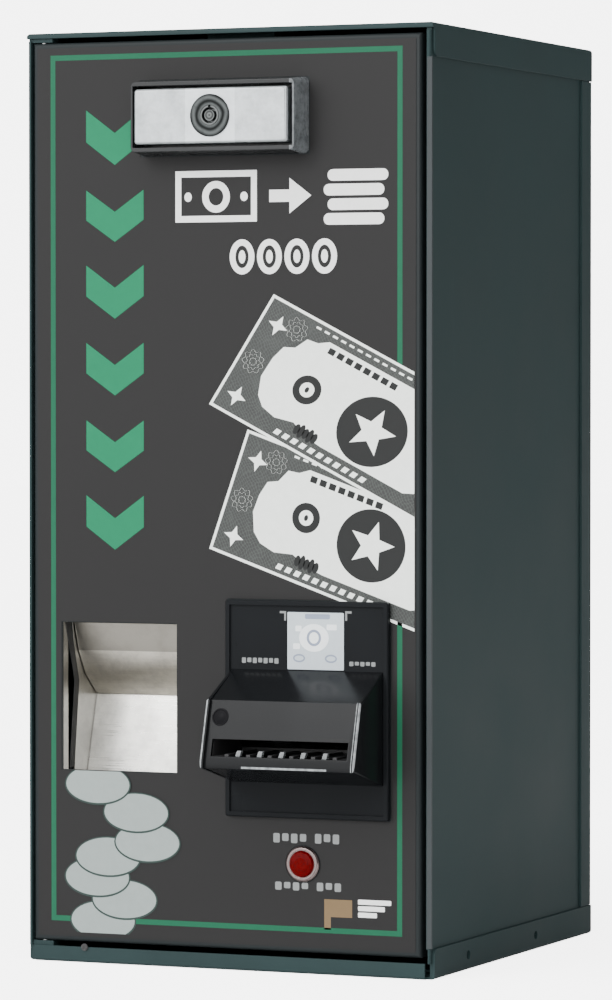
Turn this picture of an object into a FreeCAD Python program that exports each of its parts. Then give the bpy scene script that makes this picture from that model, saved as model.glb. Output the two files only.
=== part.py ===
import FreeCAD, Part

# A coin changer: a sheet steel cabinet with a hinged front door. The door carries the banknote
# validator, the coin cup, the sold-out lamp and the pull-out locking handle. The cabinet holds the
# coin hopper, its gear train, the chute to the cup and the electrics.
#
# Frame: +Z up, the front faces -Y, +X is to the right seen from the front, and the origin is the
# centre of the cabinet's underside. All lengths are millimetres.

import math
import os

import Sketcher

# Driving sizes: alias, value, meaning.
SIZES = (
    # cabinet
    ("cabinet_width", 264.0, "over the flanges of the cap and the pan"),
    ("cabinet_depth", 272.0, "front lips to back panel"),
    ("cabinet_height", 560.0, "underside to top"),
    ("sheet", 1.5, "steel of the cabinet and the door"),
    ("bend_radius", 2.0, "outside of the cabinet's bends"),
    ("cap_flange", 20.0, "side flange of the top cap"),
    ("cap_lip", 3.2, "front lip of the top cap"),
    ("pan_flange", 18.0, "side flange of the base pan"),
    ("sill_lip", 9.5, "front lip of the base pan"),
    ("back_flange", 18.5, "side flange of the back panel"),
    ("corner_relief", 3.5, "open corner between a lip and a flange"),
    ("flange_corner", 4.0, "rounding of a flange's free corner"),
    ("seam", 0.4, "gap between the back panel and the cap or pan"),
    ("weld_flange", 12.0, "inner flanges of the side panels"),
    ("weld_flange_start", 26.0, "front end of those flanges, behind the front"),
    ("hem_depth", 16.0, "folded front edge of the right side panel"),
    ("side_hole_radius", 2.75, "fixing holes low in the sides"),
    ("side_hole_height", 9.0, "their height"),
    ("side_hole_front", 58.0, "the front one, behind the front"),
    ("side_hole_pitch", 114.0, "from one to the next"),
    ("base_hole_radius", 4.5, "stand bolts in the base"),
    ("base_hole_inset_side", 42.0, "from the cabinet's side"),
    ("base_hole_inset_end", 46.0, "from the front or the back"),
    ("wall_hole_radius", 3.75, "wall bolts in the back"),
    ("wall_hole_inset_side", 44.0, "from the cabinet's side"),
    ("wall_hole_inset_end", 90.0, "from the top or the bottom"),
    ("inlet_side", 48.0, "power inlet from the cabinet's right side"),
    ("inlet_height", 52.0, "power inlet above the base"),
    ("inlet_width", 27.0, "power inlet through the panel"),
    ("inlet_tall", 20.0, "power inlet through the panel"),
    ("inlet_depth", 22.0, "power inlet inside the panel"),
    ("inlet_flange", 2.0, "its flange inside the panel, both thickness and width"),
    ("inlet_wall", 2.0, "round its socket"),
    ("inlet_pin_pitch", 7.0, "between its pins"),
    # door
    ("door_depth", 16.0, "depth of the door's edges"),
    ("door_radius", 2.5, "outside of the door's front bends"),
    ("gap_hinge", 1.4, "door to left panel"),
    ("gap_lock", 2.8, "door to right panel"),
    ("gap_top", 2.9, "door to cap lip"),
    ("gap_bottom", 3.2, "door to sill"),
    ("hinge_inset_side", 5.3, "hinge axis from the door's left edge"),
    ("hinge_inset_front", 5.2, "hinge axis from the front"),
    ("hinge_pin_radius", 2.0, "hinge pins"),
    ("hinge_pin_grip", 10.0, "pin length inside the door"),
    ("hinge_block_side", 7.0, "hinge block past the axis, to the right"),
    ("hinge_block_back", 6.0, "hinge block past the axis, to the back"),
    ("hinge_block_height", 14.0, "hinge block in the door"),
    ("running_gap", 0.05, "radial clearance of a running fit"),
    ("clearance", 0.5, "between pieces that pass each other"),
    ("film", 0.3, "printed film on the door"),
    ("film_margin", 3.2, "film edge inside the door's edge"),
    ("stiffener_depth", 11.0, "channel behind the door skin"),
    ("stiffener_web", 12.0, "width of its back"),
    ("stiffener_foot", 4.0, "width of each foot"),
    ("stiffener_sheet", 1.2, "its steel"),
    ("stiffener_end", 13.0, "its ends inside the door's edges"),
    ("stiffener_low", 17.5, "its lower foot above the door's bottom"),
    # locking handle
    ("handle_drop", 52.8, "handle axis below the cabinet's top"),
    ("handle_shift", -1.1, "handle axis from the cabinet's middle"),
    ("frame_width", 105.8, "front of the handle frame"),
    ("frame_height", 41.6, "front of the handle frame"),
    ("frame_flare", 1.7, "growth of each side towards the door"),
    ("frame_stand", 18.5, "height of the frame on the door"),
    ("frame_floor", 3.0, "floor of its recess"),
    ("frame_corner", 3.0, "corner rounding of the frame"),
    ("bar_width", 99.2, "handle bar"),
    ("bar_height", 32.6, "handle bar"),
    ("bar_gap", 1.9, "bar to the recess wall"),
    ("bar_proud", 2.6, "bar in front of its frame"),
    ("bar_floor_gap", 1.0, "bar to the recess floor"),
    ("bar_corner", 2.0, "corner rounding of the bar"),
    ("bar_grip", 5.0, "depth of the finger undercut at the bar's ends"),
    ("cylinder_radius", 11.0, "lock cylinder"),
    ("cylinder_collar", 12.6, "radius of its front collar"),
    ("collar_thick", 0.8, "its thickness"),
    ("plug_radius", 6.0, "turning key plug"),
    ("plug_length", 15.0, "turning key plug"),
    ("keyway_outer", 4.8, "outer radius of the ring keyway"),
    ("keyway_inner", 3.2, "inner radius of the ring keyway"),
    ("keyway_depth", 5.0, "depth of the ring keyway"),
    ("stem_radius", 7.0, "handle stem"),
    ("stem_reach", 38.0, "stem end behind the front"),
    ("spindle_radius", 10.0, "latch spindle in its housing"),
    ("spindle_neck", 8.5, "radius of the spindle's rear part"),
    ("spindle_cap", 2.0, "closed end of the spindle"),
    ("spring_room", 6.0, "between stem end and spindle cap"),
    ("housing_radius", 12.0, "threaded housing of the handle frame"),
    ("housing_reach", 23.0, "its end behind the front"),
    ("ring_nut_radius", 18.0, "nut on the housing"),
    ("ring_nut_thick", 6.0, "nut on the housing"),
    ("cam_thick", 2.5, "latch cam"),
    ("cam_reach", 46.0, "latch cam, axis to tip"),
    ("cam_width", 14.0, "latch cam at its tip"),
    ("cam_nut_thick", 5.0, "nut behind the cam"),
    ("keeper_drop", 20.0, "keeper lip below the roof"),
    ("keeper_width", 44.0, "keeper"),
    ("keeper_foot", 22.0, "keeper's foot under the roof"),
    ("keeper_setback", 24.0, "keeper lip behind the front"),
    # validator front
    ("plate_margin", 19.2, "validator plate to the door's right edge"),
    ("plate_width", 104.5, "validator plate"),
    ("plate_height", 128.5, "validator plate"),
    ("plate_drop", 43.5, "plate's lower edge below the note path"),
    ("plate_thick", 3.0, "validator plate"),
    ("rim_width", 2.9, "raised rim of the plate"),
    ("rim_proud", 1.4, "raised rim of the plate"),
    ("note_height", 136.0, "middle of the note path above the base"),
    ("note_gap", 5.0, "height of the note path inside"),
    ("mouth_width", 86.4, "mouth of the snout"),
    ("mouth_height", 10.0, "mouth of the snout"),
    ("snout_width", 98.3, "over the cheeks"),
    ("snout_wall", 2.5, "moulded wall"),
    ("cheek_thick", 2.4, "cheek plates at the snout's sides"),
    ("cheek_proud", 2.2, "cheeks in front of the face"),
    ("snout_rise", 44.0, "root's top above the note path"),
    ("snout_fall", 23.0, "root's bottom below the note path"),
    ("brow_rise", 27.5, "upper front edge above the note path"),
    ("brow_reach", 36.2, "upper front edge in front of the door"),
    ("lip_reach", 46.2, "lower front edge in front of the door"),
    ("lip_top", 8.0, "lip's upper edge below the note path"),
    ("lip_bottom", 12.0, "lip's lower edge below the note path"),
    ("tray_thick", 2.0, "note tray"),
    ("tray_rib", 1.2, "height of the tray's ribs"),
    ("tray_rib_width", 2.6, "width of the tray's ribs"),
    ("lens_pitch", 13.75, "lenses in the mouth"),
    ("lens_width", 3.0, "lenses in the mouth"),
    ("lens_height", 3.4, "lenses in the mouth"),
    # validator behind the door
    ("unit_width", 90.0, "validator housings"),
    ("unit_reach", 102.0, "validator housings behind the front"),
    ("unit_wall", 2.5, "validator housings"),
    ("base_depth", 32.0, "lower housing below the note path"),
    ("head_height", 60.0, "upper housing above the note path"),
    ("feed_radius", 8.0, "feed rollers"),
    ("pinch_radius", 7.0, "pinch rollers"),
    ("roller_width", 12.0, "feed and pinch rollers"),
    ("roller_spread", 26.0, "rollers from the middle"),
    ("roller_shaft", 2.0, "roller shafts"),
    ("front_roller", 24.0, "front roller behind the front"),
    ("rear_roller", 80.0, "rear roller behind the front"),
    ("nip", 0.4, "feed roller to pinch roller"),
    ("belt_thick", 1.2, "feed belts"),
    ("belt_width", 6.0, "feed belts"),
    ("belt_spread", 11.0, "belts from the middle"),
    ("feed_gear_thick", 4.0, "gears on the validator's side"),
    ("feed_gear_module", 1.0, "tooth size"),
    ("motor_can_radius", 8.6, "feed motor"),
    ("motor_can_length", 26.0, "feed motor"),
    ("motor_drop", 8.0, "feed motor axis below the roller axis"),
    ("bill_box_height", 196.0, "bill box"),
    ("bill_box_wall", 1.2, "bill box"),
    ("bill_box_width", 80.0, "bill box"),
    ("bill_box_front", 8.0, "bill box behind the front"),
    ("lid_pivot", 4.0, "lid pivot from the box's front"),
    ("lid_pivot_drop", 6.0, "lid pivot below the box's top"),
    ("lid_pin_radius", 1.5, "lid pins"),
    ("lid_ear", 4.5, "radius of the lid's ears"),
    ("pusher_thick", 2.0, "pusher plate"),
    ("pusher_flange", 8.0, "folded sides of the pusher plate"),
    ("pusher_travel", 22.0, "pusher plate"),
    ("stud_radius", 2.0, "studs of the validator plate"),
    ("stud_inset", 3.6, "studs from the plate's edge"),
    ("stud_reach", 8.0, "studs behind the front"),
    ("nut_radius", 4.0, "small nuts"),
    ("nut_thick", 3.0, "small nuts"),
    # coin cup
    ("cup_margin", 19.3, "coin opening to the door's left edge"),
    ("cup_width", 75.8, "coin opening"),
    ("cup_bottom", 116.5, "coin opening's lower edge"),
    ("cup_height", 89.0, "coin opening"),
    ("cup_sheet", 1.2, "stainless steel of the cup"),
    ("trough_drop", 22.0, "trough floor below the opening"),
    ("trough_reach", 24.0, "trough floor behind the front"),
    ("scoop_low", 30.1, "scoop's foot behind the front"),
    ("scoop_foot", 16.5, "scoop's foot below the opening"),
    ("scoop_high", 56.2, "scoop's top behind the front"),
    ("scoop_top", 71.5, "scoop's top above the opening's lower edge"),
    ("collar_depth", 8.0, "front collar of the cup's sides"),
    ("cup_flange", 7.0, "fixing flanges of the cup"),
    ("baffle_tuck", 15.0, "first bend of the baffle, behind the front"),
    ("baffle_knee", 21.0, "its second bend, behind the front"),
    ("baffle_knee_height", 71.0, "its second bend above the opening's lower edge"),
    ("baffle_shin", 31.0, "its third bend, behind the front"),
    ("baffle_shin_height", 56.0, "its third bend above the opening's lower edge"),
    ("baffle_edge", 46.5, "its free edge, behind the front"),
    ("baffle_edge_height", 43.5, "its free edge above the opening's lower edge"),
    # lamp
    ("lamp_height", 65.3, "lamp above the base"),
    ("lamp_shift", -3.55, "lamp from the validator's middle"),
    ("lamp_ring", 10.8, "radius of the lamp's ring"),
    ("lamp_ring_proud", 2.4, "lamp's ring"),
    ("lens_radius", 7.8, "red lens"),
    ("lens_proud", 4.2, "red lens in front of the door"),
    ("lamp_body_radius", 8.0, "threaded lamp body"),
    ("lamp_reach", 26.0, "lamp body behind the front"),
    ("lamp_nut_radius", 11.5, "lamp nut"),
    ("lamp_nut_thick", 3.5, "lamp nut"),
    # hopper
    ("shelf_height", 208.0, "top of the hopper shelf"),
    ("shelf_setback", 108.0, "shelf's front behind the cabinet's front"),
    ("shelf_flange", 20.0, "shelf's flanges"),
    ("hopper_width", 112.0, "hopper base"),
    ("hopper_depth", 116.0, "hopper base"),
    ("hopper_setback", 2.0, "hopper base behind the shelf's front"),
    ("hopper_height", 42.0, "hopper base"),
    ("hopper_wall", 3.0, "hopper base"),
    ("well_depth", 12.0, "round well of the disc"),
    ("disc_radius", 50.0, "hopper disc"),
    ("disc_gap", 0.6, "disc to its well"),
    ("disc_lift", 0.3, "disc above the well's floor"),
    ("disc_thick", 5.0, "hopper disc"),
    ("disc_hub", 9.0, "radius of the disc's raised hub"),
    ("stirrer_reach", 18.0, "stirring ribs from the disc's axis"),
    ("stirrer_width", 2.4, "stirring ribs"),
    ("coin_hole_radius", 13.6, "coin pockets of the disc"),
    ("coin_hole_circle", 33.0, "radius of the pockets' circle"),
    ("disc_shaft", 4.0, "disc shaft"),
    ("gear_thick", 6.0, "hopper gears"),
    ("gear_module", 1.0, "tooth size of the hopper gears"),
    ("gear_floor", 6.0, "gears above the shelf"),
    ("idler_pin_radius", 3.0, "idler gear's pin"),
    ("pinion_shaft", 2.0, "pinion shafts"),
    ("hopper_motor_radius", 17.0, "hopper motor"),
    ("hopper_motor_length", 50.0, "hopper motor"),
    ("coin_slot_width", 30.0, "coin exit of the base"),
    ("coin_slot_height", 5.0, "coin exit of the base"),
    ("bowl_height", 122.0, "hopper bowl"),
    ("bowl_wall", 2.5, "hopper bowl"),
    ("bowl_flange", 4.0, "bowl's foot"),
    ("bowl_side_gap", 4.0, "bowl to the cabinet's left and back"),
    ("bowl_width", 146.0, "top of the bowl"),
    ("bowl_chamfer", 27.0, "bevelled corners of the bowl"),
    ("bowl_mouth", 48.0, "half the width of the bowl's lower end"),
    ("chute_width", 60.0, "coin chute"),
    ("chute_side", 14.0, "sides of the chute"),
    ("chute_sheet", 1.2, "chute"),
    ("chute_gap", 7.0, "chute's mouth to the cup"),
    ("chute_fall", 40.0, "fall of the chute"),
    ("sensor_height", 9.0, "coin exit sensor"),
    ("sensor_depth", 7.0, "coin exit sensor"),
    # electrics
    ("board_width", 130.0, "control board"),
    ("board_height", 180.0, "control board"),
    ("board_thick", 1.6, "control board"),
    ("board_bottom", 290.0, "control board above the base"),
    ("board_setback", 21.0, "control board in front of the back"),
    ("capacitor_radius", 7.0, "capacitors of the control board"),
    ("capacitor_tall", 22.0, "their height over the board"),
    ("capacitor_up", 38.0, "above the board's lower edge"),
    ("capacitor_along", 78.0, "the first, behind the board's front edge"),
    ("capacitor_pitch", 20.0, "from one to the next"),
    ("standoff", 8.0, "board to side panel"),
    ("standoff_radius", 3.0, "standoffs"),
    ("standoff_inset", 7.0, "standoffs from the board's edge"),
    ("core_width", 60.0, "transformer core"),
    ("core_depth", 40.0, "transformer core"),
    ("core_height", 50.0, "transformer core"),
    ("core_leg", 12.0, "transformer's outer legs"),
    ("coil_overhang", 9.0, "winding past the core"),
    ("transformer_side", 34.0, "transformer to the right panel"),
    ("transformer_setback", 40.0, "transformer behind the shelf's front"),
    ("switch_width", 22.0, "power switch"),
    ("switch_height", 13.0, "power switch"),
    ("switch_depth", 18.0, "power switch"),
    ("switch_side", 24.0, "power switch to the right panel"),
    ("rocker_gap", 0.4, "rocker in its switch"),
    ("rocker_reach", 8.0, "rocker's ends from its pivot"),
    ("rocker_pin", 1.2, "radius of the rocker's pivot pin"),
)

# Larger components of the control board: name, height over the board, then start and length
# behind the board's front edge, and start and length above its lower edge.
COMPONENTS = (
    ("motor_relay", 16.0, 12.0, 18.0, 14.0, 10.0),
    ("mains_relay", 16.0, 34.0, 18.0, 14.0, 10.0),
    ("lower_sockets", 8.0, 62.0, 50.0, 4.0, 8.0),
    ("processor", 3.5, 30.0, 32.0, 64.0, 20.0),
    ("heat_sink", 14.0, 80.0, 30.0, 60.0, 40.0),
    ("memory", 6.0, 20.0, 40.0, 118.0, 22.0),
    ("upper_sockets", 11.0, 20.0, 90.0, 160.0, 10.0),
)

FEED_GEAR_TEETH = 30
FEED_PINION_TEETH = 12
DISC_GEAR_TEETH = 48
IDLER_TEETH = 24
HOPPER_PINION_TEETH = 12
COIN_POCKETS = 5
MOUTH_LENSES = 5
ROCKER_TILT = 9.0  # degrees, each way from level
OVERRUN = 2.0  # how far a cut runs past the face that it starts from

V = FreeCAD.Vector
doc = FreeCAD.newDocument("coin_changer")


class Dim:
    """A length that carries both its value and the sheet formula that drives it."""

    def __init__(self, value, formula):
        self.value = float(value)
        self.formula = formula

    def __add__(self, other):
        other = dim(other)
        return Dim(self.value + other.value, f"({self.formula} + {other.formula})")

    def __sub__(self, other):
        other = dim(other)
        return Dim(self.value - other.value, f"({self.formula} - {other.formula})")

    def __mul__(self, other):
        other = dim(other)
        return Dim(self.value * other.value, f"({self.formula} * {other.formula})")

    def __truediv__(self, other):
        other = dim(other)
        return Dim(self.value / other.value, f"({self.formula} / {other.formula})")

    def __neg__(self):
        return Dim(-self.value, f"(0 - {self.formula})")

    def __radd__(self, other):
        return dim(other) + self

    def __rsub__(self, other):
        return dim(other) - self

    def __rmul__(self, other):
        return dim(other) * self

    def root(self):
        """Square root."""
        return Dim(math.sqrt(self.value), f"sqrt({self.formula})")


def dim(number):
    """A plain number as a Dim."""
    if isinstance(number, Dim):
        return number
    return Dim(number, f"({float(number):.9g})")


class Sheet:
    """A spreadsheet whose aliases are read as attributes."""

    def __init__(self, label):
        self.label = label
        self.cells = doc.addObject("Spreadsheet::Sheet", label)
        self.dims = {}

    def enter(self, alias, content, value, note=""):
        row = len(self.dims) + 1
        self.cells.set(f"A{row}", alias)
        self.cells.set(f"B{row}", content)
        self.cells.set(f"C{row}", note)
        self.cells.setAlias(f"B{row}", alias)
        self.dims[alias] = Dim(value, f"{self.label}.{alias}")

    def __getattr__(self, alias):
        return self.dims[alias]


S = Sheet("Sizes")
for name, size, meaning in SIZES:
    S.enter(name, str(size), size, meaning)
for name, *sizes in COMPONENTS:
    for quality, size in zip(("tall", "along", "length", "up", "height"), sizes):
        S.enter(f"{name}_{quality}", str(size), size, f"control board's {name.replace('_', ' ')}")

P = Sheet("Places")


def place(alias, length):
    """Keep a worked-out place in the Places sheet under its own alias."""
    own_formula = length.formula.replace("Places.", "")
    P.enter(alias, "=" + own_formula, length.value)


# Cabinet planes
place("half_width", S.cabinet_width / 2)
place("front", -(S.cabinet_depth / 2))
place("rear", S.cabinet_depth / 2)
place("panel_outer", P.half_width - S.sheet)
place("panel_inner", P.panel_outer - S.sheet)
place("rear_inner", P.rear - S.sheet)
place("deck", S.sheet + 0)
place("roof", S.cabinet_height - S.sheet)
place("cap_bottom", S.cabinet_height - S.cap_flange)
place("hem_inner", P.panel_inner - S.sheet)
# Door
place("door_left", S.gap_hinge - P.panel_inner)
place("door_right", P.hem_inner - S.gap_lock)
place("door_bottom", S.sill_lip + S.gap_bottom)
place("door_top", S.cabinet_height - S.cap_lip - S.gap_top)
place("door_back", P.front + S.door_depth)
place("door_skin", P.front + S.sheet)
place("hinge_x", P.door_left + S.hinge_inset_side)
place("hinge_y", P.front + S.hinge_inset_front)
place("pin_bore", S.hinge_pin_radius + S.running_gap)
# Handle
place("handle_x", S.handle_shift + 0)
place("handle_z", S.cabinet_height - S.handle_drop)
place("frame_front", P.front - S.frame_stand)
place("recess_floor", P.front - S.frame_floor)
place("bar_back", P.recess_floor - S.bar_floor_gap)
place("bar_front", P.frame_front - S.bar_proud)
place("stem_end", P.front + S.stem_reach)
place("housing_end", P.front + S.housing_reach)
place("keeper_front", P.front + S.keeper_setback)
place("cam_front", P.keeper_front + S.sheet + S.clearance)
place("cam_back", P.cam_front + S.cam_thick)
place("spindle_front", P.recess_floor + S.clearance)
place("spindle_end", P.stem_end + S.spring_room + S.spindle_cap)
# Validator
place("unit_x", P.door_right - S.plate_margin - S.plate_width / 2)
place("plate_bottom", S.note_height - S.plate_drop)
place("plate_front", P.front - S.plate_thick)
place("unit_back", P.front + S.unit_reach)
place("base_top", S.note_height - S.note_gap / 2)
place("base_bottom", P.base_top - S.base_depth)
place("head_bottom", S.note_height + S.note_gap / 2)
place("head_top", P.head_bottom + S.head_height)
place("feed_z", P.base_top + S.nip - S.feed_radius)
place("pinch_z", P.feed_z + S.feed_radius + S.nip + S.pinch_radius)
place("front_roller_y", P.front + S.front_roller)
place("rear_roller_y", P.front + S.rear_roller)
place("box_front", P.front + S.bill_box_front)
place("box_top", P.head_top + S.bill_box_height)
place("lid_pivot_y", P.box_front + S.lid_pivot)
place("lid_pivot_z", P.box_top - S.lid_pivot_drop)
place("lid_under", P.box_top + S.nip)
place("snout_lean", (S.lip_reach - S.brow_reach) / (S.brow_rise + S.lip_top))
place("tray_top", S.note_height - S.mouth_height / 2)
place("tray_bottom", P.tray_top - S.tray_thick)
# Coin cup
place("cup_left", P.door_left + S.cup_margin)
place("cup_right", P.cup_left + S.cup_width)
place("cup_x", P.cup_left + S.cup_width / 2)
place("cup_top", S.cup_bottom + S.cup_height)
place("trough_floor", S.cup_bottom - S.trough_drop)
place("scoop_top_z", S.cup_bottom + S.scoop_top)
# Lamp
place("lamp_x", P.unit_x + S.lamp_shift)
# Hopper
place("shelf_front", P.front + S.shelf_setback)
place("shelf_under", S.shelf_height - S.sheet)
place("hopper_front", P.shelf_front + S.hopper_setback)
place("hopper_y", P.hopper_front + S.hopper_depth / 2)
place("hopper_top", S.shelf_height + S.hopper_height)
place("well_floor", P.hopper_top - S.well_depth)
place("gear_low", S.shelf_height + S.gear_floor)
place("gear_high", P.gear_low + S.gear_thick)
place("idler_x", P.cup_x + S.gear_module * (DISC_GEAR_TEETH + IDLER_TEETH) / 2)
place("pinion_y", P.hopper_y + S.gear_module * (IDLER_TEETH + HOPPER_PINION_TEETH) / 2)


def bind(target, prop, length):
    """Tie a property to the sheets, or set it where the length is a plain number."""
    length = dim(length)
    if "." in length.formula and any(sheet in length.formula for sheet in ("Sizes.", "Places.")):
        target.setExpression(prop, length.formula)
        return
    steps = prop.split(".")
    if len(steps) == 1:
        setattr(target, prop, length.value)
        return
    target.setExpression(prop, length.formula)


def rect(u_low, u_high, v_low, v_high):
    """The four corners of a rectangle."""
    return [(u_low, v_low), (u_high, v_low), (u_high, v_high), (u_low, v_high)]


def around(u_mid, v_mid, width, height):
    """The four corners of a rectangle about its middle."""
    half_w = dim(width) / 2
    half_h = dim(height) / 2
    return rect(u_mid - half_w, u_mid + half_w, v_mid - half_h, v_mid + half_h)


def both_sides(middle, offset):
    """The two places at an offset each side of a middle."""
    return (middle - offset, middle + offset)


class Piece:
    """A sub-part made as one PartDesign body."""

    # sketch plane: the origin plane's role, and its normal's sign along the third axis
    PLANES = {"XY": ("XY_Plane", 1), "XZ": ("XZ_Plane", -1), "YZ": ("YZ_Plane", 1)}

    def __init__(self, label, at=None, turn=0.0, about=V(0, 0, 1)):
        self.body = doc.addObject("PartDesign::Body", label)
        self.body.Label = label
        if turn:
            self.body.Placement.Rotation = FreeCAD.Rotation(about, turn)
        if at:
            for axis, length in zip("xyz", at):
                bind(self.body, f"Placement.Base.{axis}", length)

    def origin(self, role):
        """An origin plane or axis of this body."""
        return next(item for item in self.body.Origin.OriginFeatures if item.Role == role)

    def sketch(self, plane, level, loops=(), circles=()):
        """A sketch of closed outlines and circles, every point tied to the sheets."""
        role, sign = self.PLANES[plane]
        sketch = self.body.newObject("Sketcher::SketchObject", "Sketch")
        sketch.AttachmentSupport = [(self.origin(role), "")]
        sketch.MapMode = "FlatFace"
        bind(sketch, "AttachmentOffset.Base.z", dim(level) * sign)
        for loop in loops:
            self.draw_loop(sketch, [(dim(u), dim(v)) for u, v in loop])
        for u, v, radius in circles:
            self.draw_circle(sketch, dim(u), dim(v), dim(radius))
        return sketch

    @staticmethod
    def draw_loop(sketch, points):
        """A closed outline of straight lines."""
        first = sketch.GeometryCount
        count = len(points)
        for index, (start, end) in enumerate(zip(points, points[1:] + points[:1])):
            line = Part.LineSegment(V(start[0].value, start[1].value, 0), V(end[0].value, end[1].value, 0))
            sketch.addGeometry(line, False)
        for index in range(count):
            follower = first + (index + 1) % count
            sketch.addConstraint(Sketcher.Constraint("Coincident", first + index, 2, follower, 1))
        for index, point in enumerate(points):
            Piece.pin_point(sketch, first + index, 1, point)

    @staticmethod
    def draw_circle(sketch, u, v, radius):
        """A circle."""
        circle = Part.Circle(V(u.value, v.value, 0), V(0, 0, 1), radius.value)
        index = sketch.addGeometry(circle, False)
        Piece.pin_point(sketch, index, 3, (u, v))
        size = sketch.addConstraint(Sketcher.Constraint("Radius", index, radius.value))
        sketch.setExpression(f"Constraints[{size}]", radius.formula)

    @staticmethod
    def pin_point(sketch, geometry, end, point):
        """Hold a sketch point at its two distances from the sketch's origin."""
        for kind, length in zip(("DistanceX", "DistanceY"), point):
            held = Sketcher.Constraint(kind, -1, 1, geometry, end, length.value)
            index = sketch.addConstraint(held)
            sketch.setExpression(f"Constraints[{index}]", length.formula)

    def pad(self, plane, low, high, *loops, circles=()):
        """Add a prism between two levels along the plane's third axis."""
        start = high if plane == "XZ" else low
        feature = self.body.newObject("PartDesign::Pad", "Pad")
        feature.Profile = self.sketch(plane, start, loops, circles)
        bind(feature, "Length", dim(high) - low)
        return self

    def cut(self, plane, low, high, *loops, circles=()):
        """Cut a prism between two levels along the plane's third axis."""
        start = low if plane == "XZ" else high
        sketch = self.sketch(plane, start, loops, circles)
        feature = self.body.newObject("PartDesign::Pocket", "Pocket")
        feature.Profile = sketch
        bind(feature, "Length", dim(high) - low)
        return self

    def turn(self, axis, profile, groove=False):
        """Revolve a profile of (radius, along) points about one of the body's axes."""
        plane = "XZ" if axis == "Z" else "XY"
        points = [(along, radius) if axis == "X" else (radius, along) for radius, along in profile]
        sketch = self.sketch(plane, 0, [points])
        kind = "Groove" if groove else "Revolution"
        feature = self.body.newObject(f"PartDesign::{kind}", kind)
        feature.Profile = sketch
        feature.ReferenceAxis = (self.origin(f"{axis}_Axis"), [""])
        feature.Angle = 360
        return self

    def loft(self, plane, sections, cut=False):
        """Loft straight between outlines given as (level, points)."""
        sketches = [self.sketch(plane, level, [points]) for level, points in sections]
        kind = "SubtractiveLoft" if cut else "AdditiveLoft"
        feature = self.body.newObject(f"PartDesign::{kind}", "Loft")
        feature.Profile = sketches[0]
        feature.Sections = sketches[1:]
        feature.Ruled = True
        return self

    def repeat(self, count, axis="Z"):
        """Repeat the last feature in a full circle about one of the body's axes."""
        last = self.body.Tip
        pattern = self.body.newObject("PartDesign::PolarPattern", "PolarPattern")
        pattern.Originals = [last]
        pattern.Axis = (self.origin(f"{axis}_Axis"), [""])
        pattern.Angle = 360
        pattern.Occurrences = count
        self.body.Tip = pattern
        return self

    def soften(self, radius, choose, chamfer=False):
        """Round or bevel the edges of the last feature that the test chooses."""
        doc.recompute()
        base = self.body.Tip
        edges = [f"Edge{i}" for i, edge in enumerate(base.Shape.Edges, start=1) if choose(edge)]
        kind = "Chamfer" if chamfer else "Fillet"
        feature = self.body.newObject(f"PartDesign::{kind}", kind)
        feature.Base = (base, edges)
        bind(feature, "Size" if chamfer else "Radius", radius)
        return self


def middle(edge):
    """Middle point of an edge."""
    return edge.valueAt((edge.FirstParameter + edge.LastParameter) / 2)


def runs(edge, axis):
    """True for a straight edge along the axis."""
    if len(edge.Vertexes) != 2 or edge.Curve.TypeId != "Part::GeomLine":
        return False
    along = edge.Vertexes[1].Point - edge.Vertexes[0].Point
    across = [abs(getattr(along, name)) for name in "xyz" if name != axis.lower()]
    return max(across) < 1e-6


def at(value, length):
    """True where a coordinate is at a length."""
    return abs(value - dim(length).value) < 1e-4


SOLIDS = {}


def keep(label, shaped, solids=1):
    """Register a finished sub-part and how many solids it has."""
    SOLIDS[label] = (shaped, solids)


def group(label, members):
    """Several like solids in one sub-part."""
    compound = doc.addObject("Part::Compound", label)
    compound.Label = label
    compound.Links = members
    keep(label, compound, len(members))


def block(name, x, y, z):
    """A plain box between two places on each axis."""
    box = doc.addObject("Part::Box", name)
    for size, corner, (low, high) in zip(("Length", "Width", "Height"), "xyz", (x, y, z)):
        bind(box, size, dim(high) - low)
        bind(box, f"Placement.Base.{corner}", low)
    return box


def hexagon(outer, u=0, v=0, upright=False):
    """Six corners about a middle: two lie level with it, or above and below it if upright."""
    first = 30 if upright else 0
    corners = [math.radians(60 * step + first) for step in range(6)]
    return [(u + outer * round(math.cos(turn), 9), v + outer * round(math.sin(turn), 9)) for turn in corners]


UPRIGHT = {
    "X": FreeCAD.Rotation(V(0, 1, 0), 90),
    "Y": FreeCAD.Rotation(V(1, 0, 0), -90),
    "Z": FreeCAD.Rotation(),
}


def rod(name, axis, centre, radius, low, high):
    """A round rod along an axis; the centre gives the other two places in X, Y, Z order."""
    cylinder = doc.addObject("Part::Cylinder", name)
    cylinder.Placement.Rotation = UPRIGHT[axis]
    bind(cylinder, "Radius", radius)
    bind(cylinder, "Height", dim(high) - low)
    places = list(centre)
    places.insert("XYZ".index(axis), low)
    for letter, length in zip("xyz", places):
        bind(cylinder, f"Placement.Base.{letter}", length)
    return cylinder


# ---------------------------------------------------------------- cabinet


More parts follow.
